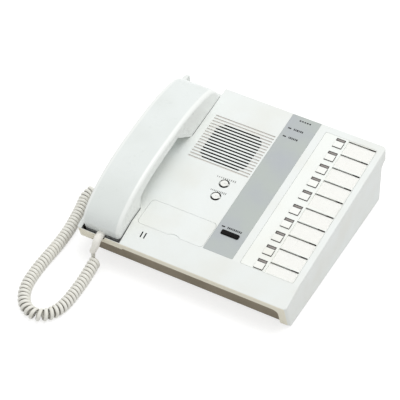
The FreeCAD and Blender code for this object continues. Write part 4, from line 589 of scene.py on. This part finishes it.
class Finish(Enum):
    """The materials of the whole set, each with the record's slot that it belongs to."""

    # Housing white, with colours of painted shade for its front, slots, wells, grooves and pockets.
    BODY = "body_white", ShellPlastic(
        0xE9EDEB, 0xE5E7E2, rough=0.44, front=0xECE7D4, slot=0x221C19, groove_shade=0xD6D3CE, pocket_shade=0x3C3834)
    # Beige base; its colour is set darker in part as painted shade for the shade it lies in under the front
    # lip.
    BASE = "base_beige", MouldedPlastic(0x9A8F7C, 0x8A806D, 0.5, 0.7 * MM, 0.012 * MM)
    # Handset plastic, with painted light on its sides and a painted shadow line level with the panel.
    HANDSET = "handset_white", GripPlastic(
        0xE4E9E7, 0xDFE4E1, rough=0.3, relief=0.003 * MM, gloss=0.5, side_light=0xF1F4F1, line=0x545250)
    PANEL = "panel_white", MouldedPlastic(0xF0F3EF, 0xECEDE6)
    # Key caps, their dark body colour a painted shade.
    KEY = "key_white", CapPlastic(0xF3F4F0, 0xECECE4, 0.34, body=0x423A36, shade_height=0.8 * MM)
    STRIP = "strip_grey", PrintedFilm(0xB4BBB6, 0xB0B5B9)
    BUTTON = "button_black", MouldedPlastic(0x0E0E0E, 0x181716, rough=0.5, gloss=0.06)
    # Knobs, their dark body colour a painted shade; the bars are their pointers.
    KNOB = "knob_dark", CapPlastic(
        0xF0F1ED, 0xE6E6DE, 0.4, body=0x302B28, shade_height=0.6 * MM, bars=KNOB_STATIONS)
    # Smoked lenses, paler in the middle, with painted shade round their edges.
    LENS = "lens_grey", SmokedLens(0x201C1A, 0x9E9894)
    STRIP_LENS = "lens_grey", SmokedLens(0x1E1E1E, 0x3E3E40)
    CARD = "card_paper", CardStock(0xF3F3EF, 0xEFEEE8)
    WINDOW = "clear", ClearCover(0xFCFCF9)
    PLUG = "clear", ClearCover(0xE8ECE8, cover=0.5)
    CORD = "cord_cream", CordSheath(0xECEBE3, 0xD6D1C4)
    BOOT = "boot_cream", CordSheath(0xFAF8F1, 0xECE8DD, 0.5)
    RUBBER = "foot_rubber", Sintered(0x343230, 0x58544E, 0.75)
    STEEL = "steel", Metal(0xC4C5C6, 0x96928C)
    CONTACT = "steel", Metal(0xE2BE6E, 0xBE9854, 0.22)
    FERRITE = "ferrite", Sintered(0x302F31, 0x545250, 0.6)
    CONE = "cone_paper", Sintered(0x1E1C1B, 0x302C28, 0.85, 0.7 * MM)
    BOARD = "board_green", Laminate(0x265834, 0x3A7442, tin=0xBEBEB8)
    DARK = "dark_plastic", MouldedPlastic(0x242322, 0x383633, 0.5)
    LAMP = "lamp_red", MouldedPlastic(0xB0221A, 0x8C1A16, rough=0.18, gloss=0.6)
    CAPSULE = "capsule", Sintered(0x3A3836, 0x605C56, 0.5)
    INK = "button_black", PrintedFilm(0x2C2C2E, 0x38383A, 0.5, 0.1)
    PALE_INK = "button_black", PrintedFilm(0x7A7C7A, 0x868784, 0.5, 0.1)
    # Colour of the painted shadow strips in the name cards' slots.
    SLOT_SHADOW = "dark_plastic", MouldedPlastic(0x1E1A18, 0x2C2825, rough=0.6, gloss=0.2)

    def __init__(self, slot: str, recipe: Recipe) -> None:
        """Keep the record's slot and what the material is made from."""
        self.slot = slot
        self.recipe = recipe

    @cached_property
    def material(self) -> Material:
        """The material, built on first use."""
        return self.recipe.shader(Graph(bpy.data.materials.new(self.name.lower())))


# ---- modelling aids
def show(name: str, data: ID) -> Object:
    """New object with its data, linked to the scene."""
    made = bpy.data.objects.new(name, data)
    bpy.context.scene.collection.objects.link(made)
    return made


def dress(finish: Finish, *nodes: str) -> None:
    """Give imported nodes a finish."""
    for name in nodes:
        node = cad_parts[name]
        if not node.material_slots:
            node.data.materials.append(None)
        for place in node.material_slots:
            place.material = finish.material
        LOG.info("dressed %s in %s", name, finish.name.lower())


def show_piece(name: str, mesh: Mesh, finish: Finish) -> Object:
    """Show a mesh as a piece in a finish, shaded round."""
    mesh.name = name
    mesh.polygons.foreach_set("use_smooth", [True] * len(mesh.polygons))
    mesh.materials.clear()
    mesh.materials.append(finish.material)
    piece = show(name, mesh)
    LOG.info("made %s: %d faces", name, len(mesh.polygons))
    return piece


def settle(name: str, form: BMesh, finish: Finish, *replaces: str) -> Object:
    """Turn a finished form into a piece that stays with the body.

    Args:
        name: The piece's name.
        form: Its mesh, in place; it is freed.
        finish: Its finish.
        *replaces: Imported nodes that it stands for.

    Returns:
        The new object.
    """
    bmesh.ops.remove_doubles(form, verts=form.verts, dist=WELD)
    bmesh.ops.recalc_face_normals(form, faces=form.faces)
    mesh = bpy.data.meshes.new(name)
    form.to_mesh(mesh)
    form.free()
    piece = show_piece(name, mesh, finish)
    mesh.set_sharp_from_angle(angle=math.radians(SHARP_ANGLE))
    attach(piece, "body")
    if replaces:
        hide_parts(*replaces)
    return piece


def brick(form: BMesh, low: Sequence[float], high: Sequence[float], place: Matrix = Matrix(),
          round_by: float = 0.0) -> None:
    """Add a block between two corners, with rounded edges.

    Args:
        form: The mesh to add to.
        low: Lowest corner in the local frame.
        high: Highest corner in the local frame.
        place: The local frame.
        round_by: Radius of its edges.
    """
    size = [b - a for a, b in zip(low, high)]
    middle = [(a + b) / 2 for a, b in zip(low, high)]
    local = place @ Matrix.Translation(middle) @ Matrix.Diagonal((*size, 1.0))
    verts = bmesh.ops.create_cube(form, size=1.0, matrix=local)["verts"]
    if round_by:
        edges = list(dict.fromkeys(edge for vert in verts for edge in vert.link_edges))
        bmesh.ops.bevel(form, geom=edges, offset=round_by, segments=2, profile=0.5, affect="EDGES",
                        material=-1, clamp_overlap=True)


def turned(form: BMesh, profile: Sequence[Pair], place: Matrix, steps: int) -> None:
    """Add a solid of revolution about the local Z axis.

    Args:
        form: The mesh to add to.
        profile: (radius, height) points from the axis, round the outside and back to the axis.
        place: The local frame.
        steps: Steps in the full turn.
    """
    verts = [form.verts.new(place @ Vector((radius, 0.0, height))) for radius, height in profile]
    edges = [form.edges.new(pair) for pair in zip(verts, verts[1:])]
    bmesh.ops.spin(form, geom=verts + edges, cent=place.translation, axis=place.to_3x3() @ Vector((0, 0, 1)),
                   angle=2 * math.pi, steps=steps, use_merge=True)


# ---- camera and studio
@dataclass
class Viewpoint:
    """The camera: a long lens from the front right, looking down."""

    azimuth: float = 28.855
    elevation: float = 44.8425
    distance: float = 1.99333
    focal: float = 188.785
    target: Triple = (-27.904 * MM, -13.795 * MM, 30.0 * MM)

    def build(self) -> None:
        """Create the camera and make it the scene's."""
        data = bpy.data.cameras.new("viewpoint")
        data.sensor_width = 36.0
        data.lens = self.focal
        camera = show("viewpoint", data)
        a = math.radians(self.azimuth)
        e = math.radians(self.elevation)
        back = Vector((math.sin(a) * math.cos(e), -math.cos(a) * math.cos(e), math.sin(e)))
        camera.location = Vector(self.target) + back * self.distance
        camera.rotation_euler = (-back).to_track_quat("-Z", "Y").to_euler()
        bpy.context.scene.camera = camera
        LOG.info("camera at %s", tuple(round(c, 3) for c in camera.location))


@dataclass
class Studio:
    """White sweep, even sky and one large soft lamp almost overhead, a little behind."""

    sky: float = 0.66
    floor_bounce: float = 0.72
    floor_seen: float = 0.5
    floor_lift: float = 0.68
    floor_half: float = 6.0
    key_power: float = 35.5
    key_size: float = 1.8
    key_from: Triple = (0.4, 0.55, 2.65)

    def build(self) -> None:
        """Create the floor, the sky and the lamp."""
        self._floor()
        self._world()
        self._key()

    def _split(self, graph: Graph, lighting: Node, seen: Node) -> NodeSocket:
        """One shader for bounced light, another for the camera, mirrors and glass."""
        path = graph.node("ShaderNodeLightPath")
        camera, glossy, through = (Value(graph, path.outputs[name]) for name in (
            "Is Camera Ray", "Is Glossy Ray", "Is Transmission Ray"))
        share = (camera + glossy + through).smaller(1.0)
        both = {0: share, 1: lighting.outputs[0], 2: seen.outputs[0]}
        return graph.node("ShaderNodeMixShader", None, both).outputs[0]

    def _floor(self) -> None:
        """Pale floor that keeps the object's shadow and reads as white."""
        form = bmesh.new()
        bmesh.ops.create_grid(form, x_segments=8, y_segments=8, size=self.floor_half)
        mesh = bpy.data.meshes.new("studio_floor")
        form.to_mesh(mesh)
        form.free()
        graph = Graph(bpy.data.materials.new("studio floor"))
        bounce = graph.node("ShaderNodeBsdfDiffuse", None, {"Color": (self.floor_bounce,) * 3})
        matt = graph.node("ShaderNodeBsdfDiffuse", None, {"Color": (self.floor_seen,) * 3})
        lift = graph.node("ShaderNodeEmission", None, {"Color": WHITE, "Strength": self.floor_lift})
        pale = graph.node("ShaderNodeAddShader", None, {0: matt.outputs[0], 1: lift.outputs[0]})
        graph.node("ShaderNodeOutputMaterial", None, {"Surface": self._split(graph, bounce, pale)})
        mesh.materials.append(graph.owner)
        show("studio_floor", mesh)

    def _world(self) -> None:
        """Even sky, white where it is seen."""
        graph = Graph(bpy.data.worlds.new("studio sky"))
        light = graph.node("ShaderNodeBackground", None, {"Color": WHITE, "Strength": self.sky})
        white = graph.node("ShaderNodeBackground", None, {"Color": WHITE, "Strength": 1.0})
        graph.node("ShaderNodeOutputWorld", None, {"Surface": self._split(graph, light, white)})
        bpy.context.scene.world = graph.owner

    def _key(self) -> None:
        """Large square lamp aimed at the middle of the set."""
        data = bpy.data.lights.new("key lamp", "AREA")
        data.energy = self.key_power
        data.size = self.key_size
        lamp = show("key lamp", data)
        lamp.location = self.key_from
        lamp.rotation_euler = (-Vector(self.key_from)).to_track_quat("-Z", "Y").to_euler()


# ---- cord
def spline_curve(controls: Sequence[Vector], thickness: float, resolution: int = CURVE_STEPS) -> Mesh:
    """Mesh of a smooth open curve on control points.

    Args:
        controls: Its control points.
        thickness: Diameter of the tube round it, 0 for a bare line.
        resolution: Steps between neighbouring points.

    Returns:
        The mesh as Blender evaluates the curve.
    """
    curve = bpy.data.curves.new("cord curve", "CURVE")
    curve.dimensions = "3D"
    curve.resolution_u = resolution
    curve.bevel_depth = thickness / 2
    curve.bevel_resolution = 4
    spline = curve.splines.new("NURBS")
    spline.points.add(len(controls) - 1)
    for point, place in zip(spline.points, controls):
        point.co = (*place, 1.0)
    spline.order_u = 3
    spline.use_endpoint_u = True
    return bpy.data.meshes.new_from_object(bpy.data.objects.new("cord curve", curve))


def smooth_line(controls: Sequence[Vector], resolution: int = CURVE_STEPS) -> list[Vector]:
    """Points of a bare smooth curve."""
    mesh = spline_curve(controls, 0.0, resolution)
    line = [vert.co.copy() for vert in mesh.vertices]
    bpy.data.meshes.remove(mesh)
    return line


@dataclass
class HandsetCord:
    """The curly cord from the handset's boot, round the front left of the set, to its plug."""

    lead: Route = ((-88.7, -110.8, 17.98), (-88.7, -110.9, 12.5), (-88.2, -111.8, 9.6))
    coil: Route = ((-84.5, -112.5, 10.0), (-84.0, -124.0, 8.0), (-82.3, -144.0, 6.8), (-82.2, -180.0, 6.4),
                   (-95.0, -196.8, 6.4), (-113.0, -193.6, 6.4), (-125.5, -175.0, 6.4), (-129.0, -148.0, 6.4),
                   (-127.5, -98.0, 6.4), (-133.5, -60.0, 6.4), (-139.5, -39.0, 6.4), (-134.5, -28.0, 6.4))
    tail: Route = ((-134.5, -28.0, 6.4), (-131.5, -19.5, 4.7), (-127.0, -7.0, 7.5), (-117.0, 0.0, 11.0),
                   (-104.02, 0.0, 11.0))
    wire: float = 3.9 * MM
    outside: float = 12.4 * MM
    pitch: float = 4.08 * MM
    touching: float = 4.0 * MM
    per_turn: int = 14
    start_angle: float = -30.0
    first_turn: float = 2.4 * MM
    last_turn: float = 4.0 * MM
    first_size: float = 0.8
    grows_over: float = 4.0 * MM
    ripples: tuple[Pair, ...] = ((0.03, 17 * MM), (0.02, 6.1 * MM))
    reach_end: float = -183.0 * MM
    steps: int = 24
    window: int = 8

    @property
    def radius(self) -> float:
        """Radius of the coil's wire centre, before the spline cuts inside its points."""
        return (self.outside - self.wire) / 2 / math.cos(math.pi / self.per_turn)

    def _route(self, points: Route) -> list[Vector]:
        """Route points in metres."""
        return [Vector(point) * MM for point in points]

    def _pitch(self, along: float, bend: float, span: float) -> float:
        """Pitch at a place, opened where a bend over a span would press the inside of the turns together."""
        tight = self.touching / max(0.5, 1.0 - bend / span * self.radius)
        ripple = sum(share * math.sin(along / length) for share, length in self.ripples)
        return max(self.pitch, tight) * (1.0 + ripple)

    def _helix(self) -> list[Vector]:
        """Points of the turns round the coil's route."""
        line = smooth_line(self._route(self.coil), self.steps)
        lengths = list(accumulate(((b - a).length for a, b in zip(line, line[1:])), initial=0.0))
        last = len(line) - 1
        points = []
        angle = math.radians(self.start_angle)
        along = self.first_turn
        while along < lengths[-1] - self.last_turn:
            i = bisect_right(lengths, along)
            centre = line[i - 1].lerp(line[i], (along - lengths[i - 1]) / (lengths[i] - lengths[i - 1]))
            before = line[max(i - self.window, 0)]
            after = line[min(i + self.window, last)]
            side = (after - before).normalized().cross(Vector((0, 0, 1))).normalized()
            grow = min(1.0, self.first_size + (along - self.first_turn) / self.grows_over)
            arm = side * math.cos(angle) + Vector((0, 0, math.sin(angle)))
            points.append(centre + arm * self.radius * grow)
            inner = self.window < i < last - self.window
            bend = (line[i] - before).angle(after - line[i]) if inner else 0.0
            angle += 2 * math.pi / self.per_turn
            along += self._pitch(along, bend, (after - before).length / 2) / self.per_turn
        return points

    def build(self) -> None:
        """Make the cord in two lengths that meet in the bend, and its plug."""
        lead = self._route(self.lead)
        tail = self._route(self.tail)
        turns = self._helix()
        joint = next(k for k, point in enumerate(turns) if point.y < self.reach_end)
        meeting = (turns[joint - 1] + turns[joint]) / 2
        reach = lead + turns[1:joint] + [meeting]
        rest = [meeting] + turns[joint:] + tail[1:]
        plug = ModularPlug().build()
        first = self._tube("handset_cord_reach", reach)
        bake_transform(first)
        second = self._tube("handset_cord_coil", rest)
        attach(second, "body")
        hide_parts("cord_lead")
        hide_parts("curly_cord", "cord_tail")
        self._declare(reach)
        self._declare(rest)

    def _tube(self, name: str, controls: Sequence[Vector]) -> Object:
        """Mesh tube round a smooth curve."""
        mesh = spline_curve(controls, self.wire)
        self._mark_facing(mesh, smooth_line(controls))
        return show_piece(name, mesh, Finish.CORD)

    def _mark_facing(self, mesh: Mesh, line: Sequence[Vector]) -> None:
        """Keep in the mesh how squarely each point of the sheath faces the next turn, from 0 to 1."""
        ring = len(mesh.vertices) // len(line)
        turn = 2 * self.per_turn
        values = []
        for k, centre in enumerate(line):
            start = max(0, min(k - self.per_turn, len(line) - 1 - turn))
            axis = (line[start + turn] - line[start]).normalized()
            values += [abs((vert.co - centre).normalized().dot(axis))
                       for vert in mesh.vertices[k * ring:(k + 1) * ring]]
        mesh.attributes.new(FACING, "FLOAT", "POINT").data.foreach_set("value", values)

    def _declare(self, controls: Sequence[Vector]) -> None:
        """Work out the smooth line of a length of the cord, which is then left unused."""
        line = smooth_line(controls)


@dataclass
class ModularPlug:
    """Four-way modular plug at the cord's end: clear body, spring latch and gilt contacts."""

    outer_x: float = -104 * MM
    inner_x: float = -86 * MM
    foot: float = 7.7 * MM
    head: float = 14.3 * MM
    half_width: float = 4.8 * MM
    half_latch: float = 1.6 * MM
    contacts: int = 4
    contact_pitch: float = 1.02 * MM
    half_contact: float = 0.2 * MM

    def build(self) -> Object:
        """Make the plug and give its body, which the contacts ride with."""
        form = bmesh.new()
        brick(form, (self.outer_x, -self.half_width, self.foot),
              (self.inner_x, self.half_width, self.head - 1.2 * MM), round_by=0.5 * MM)
        brick(form, (self.outer_x + 0.4 * MM, -self.half_latch, self.head - 1.5 * MM),
              (self.inner_x - 1 * MM, self.half_latch, self.head - 0.3 * MM), round_by=0.3 * MM)
        body = settle("modular_plug", form, Finish.PLUG, "cord_plug")
        form = bmesh.new()
        for i in range(self.contacts):
            at = (i - (self.contacts - 1) / 2) * self.contact_pitch
            brick(form, (self.inner_x - 5.5 * MM, at - self.half_contact, self.foot - 0.02 * MM),
                  (self.inner_x - 1.2 * MM, at + self.half_contact, self.head - 3.7 * MM))
        pins = settle("plug_contacts", form, Finish.CONTACT)
        pins.parent = body
        return body


# ---- sub-assemblies
@dataclass
class Housing:
    """Upper and lower housings with their feet, fasteners and line terminals."""

    feet: tuple[Pair, ...] = ((-82.0, -76.0), (84.0, -76.0), (-82.0, 80.0), (94.0, 80.0))
    foot_radius: float = 6.5 * MM
    foot_height: float = 2.48 * MM
    terminals: int = 12
    head_radius: float = 1.8 * MM
    head_height: float = 0.9 * MM
    head_rim: float = 0.7 * MM
    half_slot: float = 0.32 * MM
    head_turn: float = 37.0

    def build(self) -> None:
        """Dress the housings and make the feet and the terminal screws."""
        dress(Finish.BODY, "top_cover", "blank_cover_plate")
        dress(Finish.BASE, "base_cover")
        dress(Finish.STEEL, "base_screws")
        dress(Finish.DARK, "handset_jack", "terminal_block")
        self._feet()
        self._terminal_screws()

    def _feet(self) -> None:
        """Rubber feet with a rounded rim and a shallow dish underneath."""
        r = self.foot_radius
        profile = [(0.0, 0.35 * MM), (r * 0.55, 0.35 * MM), (r * 0.68, 0.0), (r - 0.5 * MM, 0.0),
                   (r - 0.15 * MM, 0.15 * MM), (r, 0.5 * MM), (r, self.foot_height), (0.0, self.foot_height)]
        form = bmesh.new()
        for x, y in self.feet:
            turned(form, profile, Matrix.Translation((x * MM, y * MM, 0)), 32)
        settle("soft_feet", form, Finish.RUBBER, "rubber_feet")

    def _half_rim(self, form: BMesh, turn: Matrix, side: int) -> None:
        """Add the raised half of a screw's head on one side, -1 or 1, of its slot."""
        top = Vector((0, 0, self.head_height))
        disc = bmesh.ops.create_circle(form, cap_ends=True, segments=20, radius=self.head_radius,
                                       matrix=turn @ Matrix.Translation(top))["verts"]
        faces = list(dict.fromkeys(face for vert in disc for face in vert.link_faces))
        geometry = disc + faces + list(dict.fromkeys(edge for face in faces for edge in face.edges))
        edge = turn @ (top + Vector((0, side * self.half_slot, 0)))
        outward = turn.to_3x3() @ Vector((0, -side, 0))
        bmesh.ops.bisect_plane(form, geom=geometry, plane_co=edge, plane_no=outward, clear_outer=True)
        faces = [face for face in faces if face.is_valid]
        raised = bmesh.ops.extrude_face_region(form, geom=faces)["geom"]
        verts = [item for item in raised if isinstance(item, BMVert)]
        bmesh.ops.translate(form, verts=verts, vec=(0, 0, self.head_rim))

    def _terminal_screws(self) -> None:
        """Slotted screw heads on the line terminals, no two turned alike."""
        low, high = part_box("terminal_screws")
        radius = self.head_radius
        pitch = (high.x - low.x - 2 * radius) / (self.terminals - 1)
        profile = [(0, 0), (radius, 0), (radius, self.head_height), (0, self.head_height)]
        form = bmesh.new()
        for i in range(self.terminals):
            centre = Vector((low.x + radius + i * pitch, (low.y + high.y) / 2, low.z))
            turn = Matrix.Translation(centre) @ Matrix.Rotation(math.radians(self.head_turn * i), 4, "Z")
            turned(form, profile, turn, 20)
            self._half_rim(form, turn, -1)
            self._half_rim(form, turn, 1)
        settle("slotted_terminal_screws", form, Finish.STEEL, "terminal_screws")


@dataclass
class ControlPanel:
    """Strip, button, knobs, keys, lenses and name cards, with the small printed marks."""

    key_x: float = 67.0 * MM
    rows: int = 10
    pitch: float = 17.8 * MM
    first: float = 11.6 * MM
    gap: float = 1.6 * MM
    lens: Pair = (9.54 * MM, 3.54 * MM)
    lens_foot: float = -1.55 * MM
    lens_head: float = -0.12 * MM
    lens_round: float = 0.25 * MM
    card_x: float = 74.2 * MM
    card_width: float = 28.9 * MM
    card_back: float = 1.6 * MM
    card_split: float = 0.74
    # Where the painted shadow strips in the card slots lie.
    shadow_foot: float = -0.6 * MM
    shadow_front: float = 0.04 * MM
    shadow_backs: Pair = (0.36 * MM, 1.0 * MM)
    shadow_heads: Pair = (-0.08 * MM, -0.04 * MM)
    ink: Pair = (-0.02 * MM, 0.03 * MM)
    lamp_x: float = 15.6 * MM
    lamps: tuple[float, ...] = (166.2 * MM, 155.0 * MM, 31.6 * MM)
    ticks: int = 10
    tick_foot: float = 5.0 * MM
    tick_half: float = 0.4 * MM
    tick_height: float = 1.3 * MM
    scale_spans: tuple[Pair, ...] = ((-10.0 * MM, 8.6 * MM), (-8.0 * MM, 7.2 * MM))
    mark_starts: tuple[float, ...] = (4.4 * MM, 4.4 * MM, 4.2 * MM)
    mark_widths: tuple[tuple[float, ...], ...] = (
        (1.2, 0.8, 1.6, 0.9, 1.2, 1.1), (0.7, 1.3, 1.0, 1.2, 0.9, 1.4),
        (1.0, 1.3, 1.1, 0.8, 1.3, 1.2, 1.0, 1.2, 1.1))
    mark_space: float = 0.6 * MM
    mark_span: Pair = (-1.0 * MM, 1.3 * MM)
    rule_span: Pair = (11.8 * MM, 13.4 * MM)
    rule_dots: int = 5
    rule_dot: float = 1.7 * MM
    rule_pitch: float = 2.6 * MM

    def build(self) -> None:
        """Dress the panel's parts and make its lenses and marks."""
        dress(Finish.STRIP, "control_strip")
        dress(Finish.BUTTON, "transfer_button")
        dress(Finish.PANEL, "key_panel")
        dress(Finish.KEY, *(f"key_{row + 1:02d}" for row in range(self.rows)))
        dress(Finish.KNOB, "speaker_volume_knob", "handset_volume_knob")
        dress(Finish.STEEL, "speaker_volume_shaft", "handset_volume_shaft")
        dress(Finish.CARD, "name_cards")
        dress(Finish.WINDOW, "card_windows")
        dress(Finish.STRIP_LENS, "strip_lamp_windows")
        self._lenses()
        self._slot_shadows()
        self._scales()
        self._strip_marks()

    def _station(self, row: int) -> float:
        """Distance of a row's lamp from the bend."""
        return self.first + row * self.pitch + (self.gap if row >= self.rows // 2 else 0.0)

    def _lenses(self) -> None:
        """Lamp lenses with a rounded rim, mapped from 0 to 1 across each."""
        form = bmesh.new()
        layer = form.loops.layers.uv.new("lens")
        inverse = PANEL.place.inverted()
        width, depth = self.lens
        for row in range(self.rows):
            t = self._station(row)
            low = Vector((self.key_x - width / 2, t - depth / 2, self.lens_foot))
            high = Vector((self.key_x + width / 2, t + depth / 2, self.lens_head))
            before = set(form.faces)
            brick(form, low, high, PANEL.place, self.lens_round)
            for face in (face for face in form.faces if face not in before):
                for loop in face.loops:
                    spot = inverse @ loop.vert.co - low
                    loop[layer].uv = (spot.x / (high.x - low.x), spot.y / (high.y - low.y))
        settle("lamp_lenses", form, Finish.LENS, "station_lamp_lenses")

    def _slot_shadows(self) -> None:
        """Dark strips of painted shadow in the slot behind each name card, deeper in its right-hand quarter.
        """
        form = bmesh.new()
        split = self.card_x + self.card_width * self.card_split
        edges = (self.card_x + 0.2 * MM, split, self.card_x + self.card_width - 0.1 * MM)
        for row in range(self.rows):
            t = self._station(row) + self.card_back
            for left, right, back, head in zip(edges, edges[1:], self.shadow_backs, self.shadow_heads):
                brick(form, (left, t + self.shadow_front, self.shadow_foot), (right, t + back, head),
                      PANEL.place)
        # The strips are dark pieces put where the slots hold only shadow.
        settle("card_slot_shadows", form, Finish.SLOT_SHADOW)

    def _print(self, form: BMesh, left: float, right: float, foot: float, head: float) -> None:
        """Add one bar of ink, a hair proud of the panel, between two x and two t."""
        under, over = self.ink
        brick(form, (left, foot, under), (right, head, over), PANEL.place)

    def _scales(self) -> None:
        """Rising tick scale printed behind each knob."""
        form = bmesh.new()
        for station, (start, end) in zip(KNOB_STATIONS, self.scale_spans):
            foot = station + self.tick_foot
            for i in range(self.ticks):
                share = i / (self.ticks - 1)
                x = KNOB_X + start + share * (end - start)
                head = foot + self.tick_height * (1 + share)
                self._print(form, x - self.tick_half, x + self.tick_half, foot, head)
        settle("volume_scales", form, Finish.PALE_INK)

    def _strip_marks(self) -> None:
        """Small marks beside the strip's lamps and a plain dotted rule at its top."""
        form = bmesh.new()
        foot, head = self.mark_span
        for station, start, widths in zip(self.lamps, self.mark_starts, self.mark_widths):
            x = self.lamp_x + start
            for width in widths:
                self._print(form, x, x + width * MM, station + foot, station + head)
                x += width * MM + self.mark_space
        foot, head = (self.lamps[0] + t for t in self.rule_span)
        for i in range(self.rule_dots):
            x = self.lamp_x + self.mark_starts[0] + i * self.rule_pitch
            self._print(form, x, x + self.rule_dot, foot, head)
        settle("strip_marks", form, Finish.INK)


@dataclass
class PlainParts:
    """A sub-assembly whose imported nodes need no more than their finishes."""

    finishes: dict[Finish, tuple[str, ...]]

    def build(self) -> None:
        """Dress every node."""
        for finish, names in self.finishes.items():
            dress(finish, *names)


HANDSET = PlainParts({
    Finish.HANDSET: ("handset_top_shell", "handset_bottom_shell"),
    Finish.CAPSULE: ("handset_receiver", "handset_microphone"),
    Finish.STEEL: ("handset_screws",),
    Finish.BOOT: ("cord_boot",),
})
WORKS = PlainParts({
    Finish.STEEL: ("speaker_frame", "speaker_screws", "board_screws", "line_transformer"),
    Finish.CONE: ("speaker_cone",),
    Finish.FERRITE: ("speaker_magnet",),
    Finish.BOARD: ("key_board", "main_board"),
    Finish.DARK: ("key_switches", "transfer_switch", "board_parts", "hook_switch", "volume_potentiometers"),
    Finish.LAMP: ("station_lamps", "strip_lamps"),
    Finish.RUBBER: ("microphone_boot",),
    Finish.CAPSULE: ("microphone_capsule",),
    Finish.KEY: ("hook_plunger",),
})


def main() -> None:
    """Build the camera, the cord, the set and the studio in order."""
    logging.basicConfig(level=logging.INFO, format="%(name)s: %(message)s")
    for part in (Viewpoint(), HandsetCord(), Housing(), ControlPanel(), HANDSET, WORKS, Studio()):
        part.build()
        LOG.info("built %s", type(part).__name__)
    bpy.context.scene.view_settings.view_transform = "Standard"


if __name__ == "__main__":
    main()
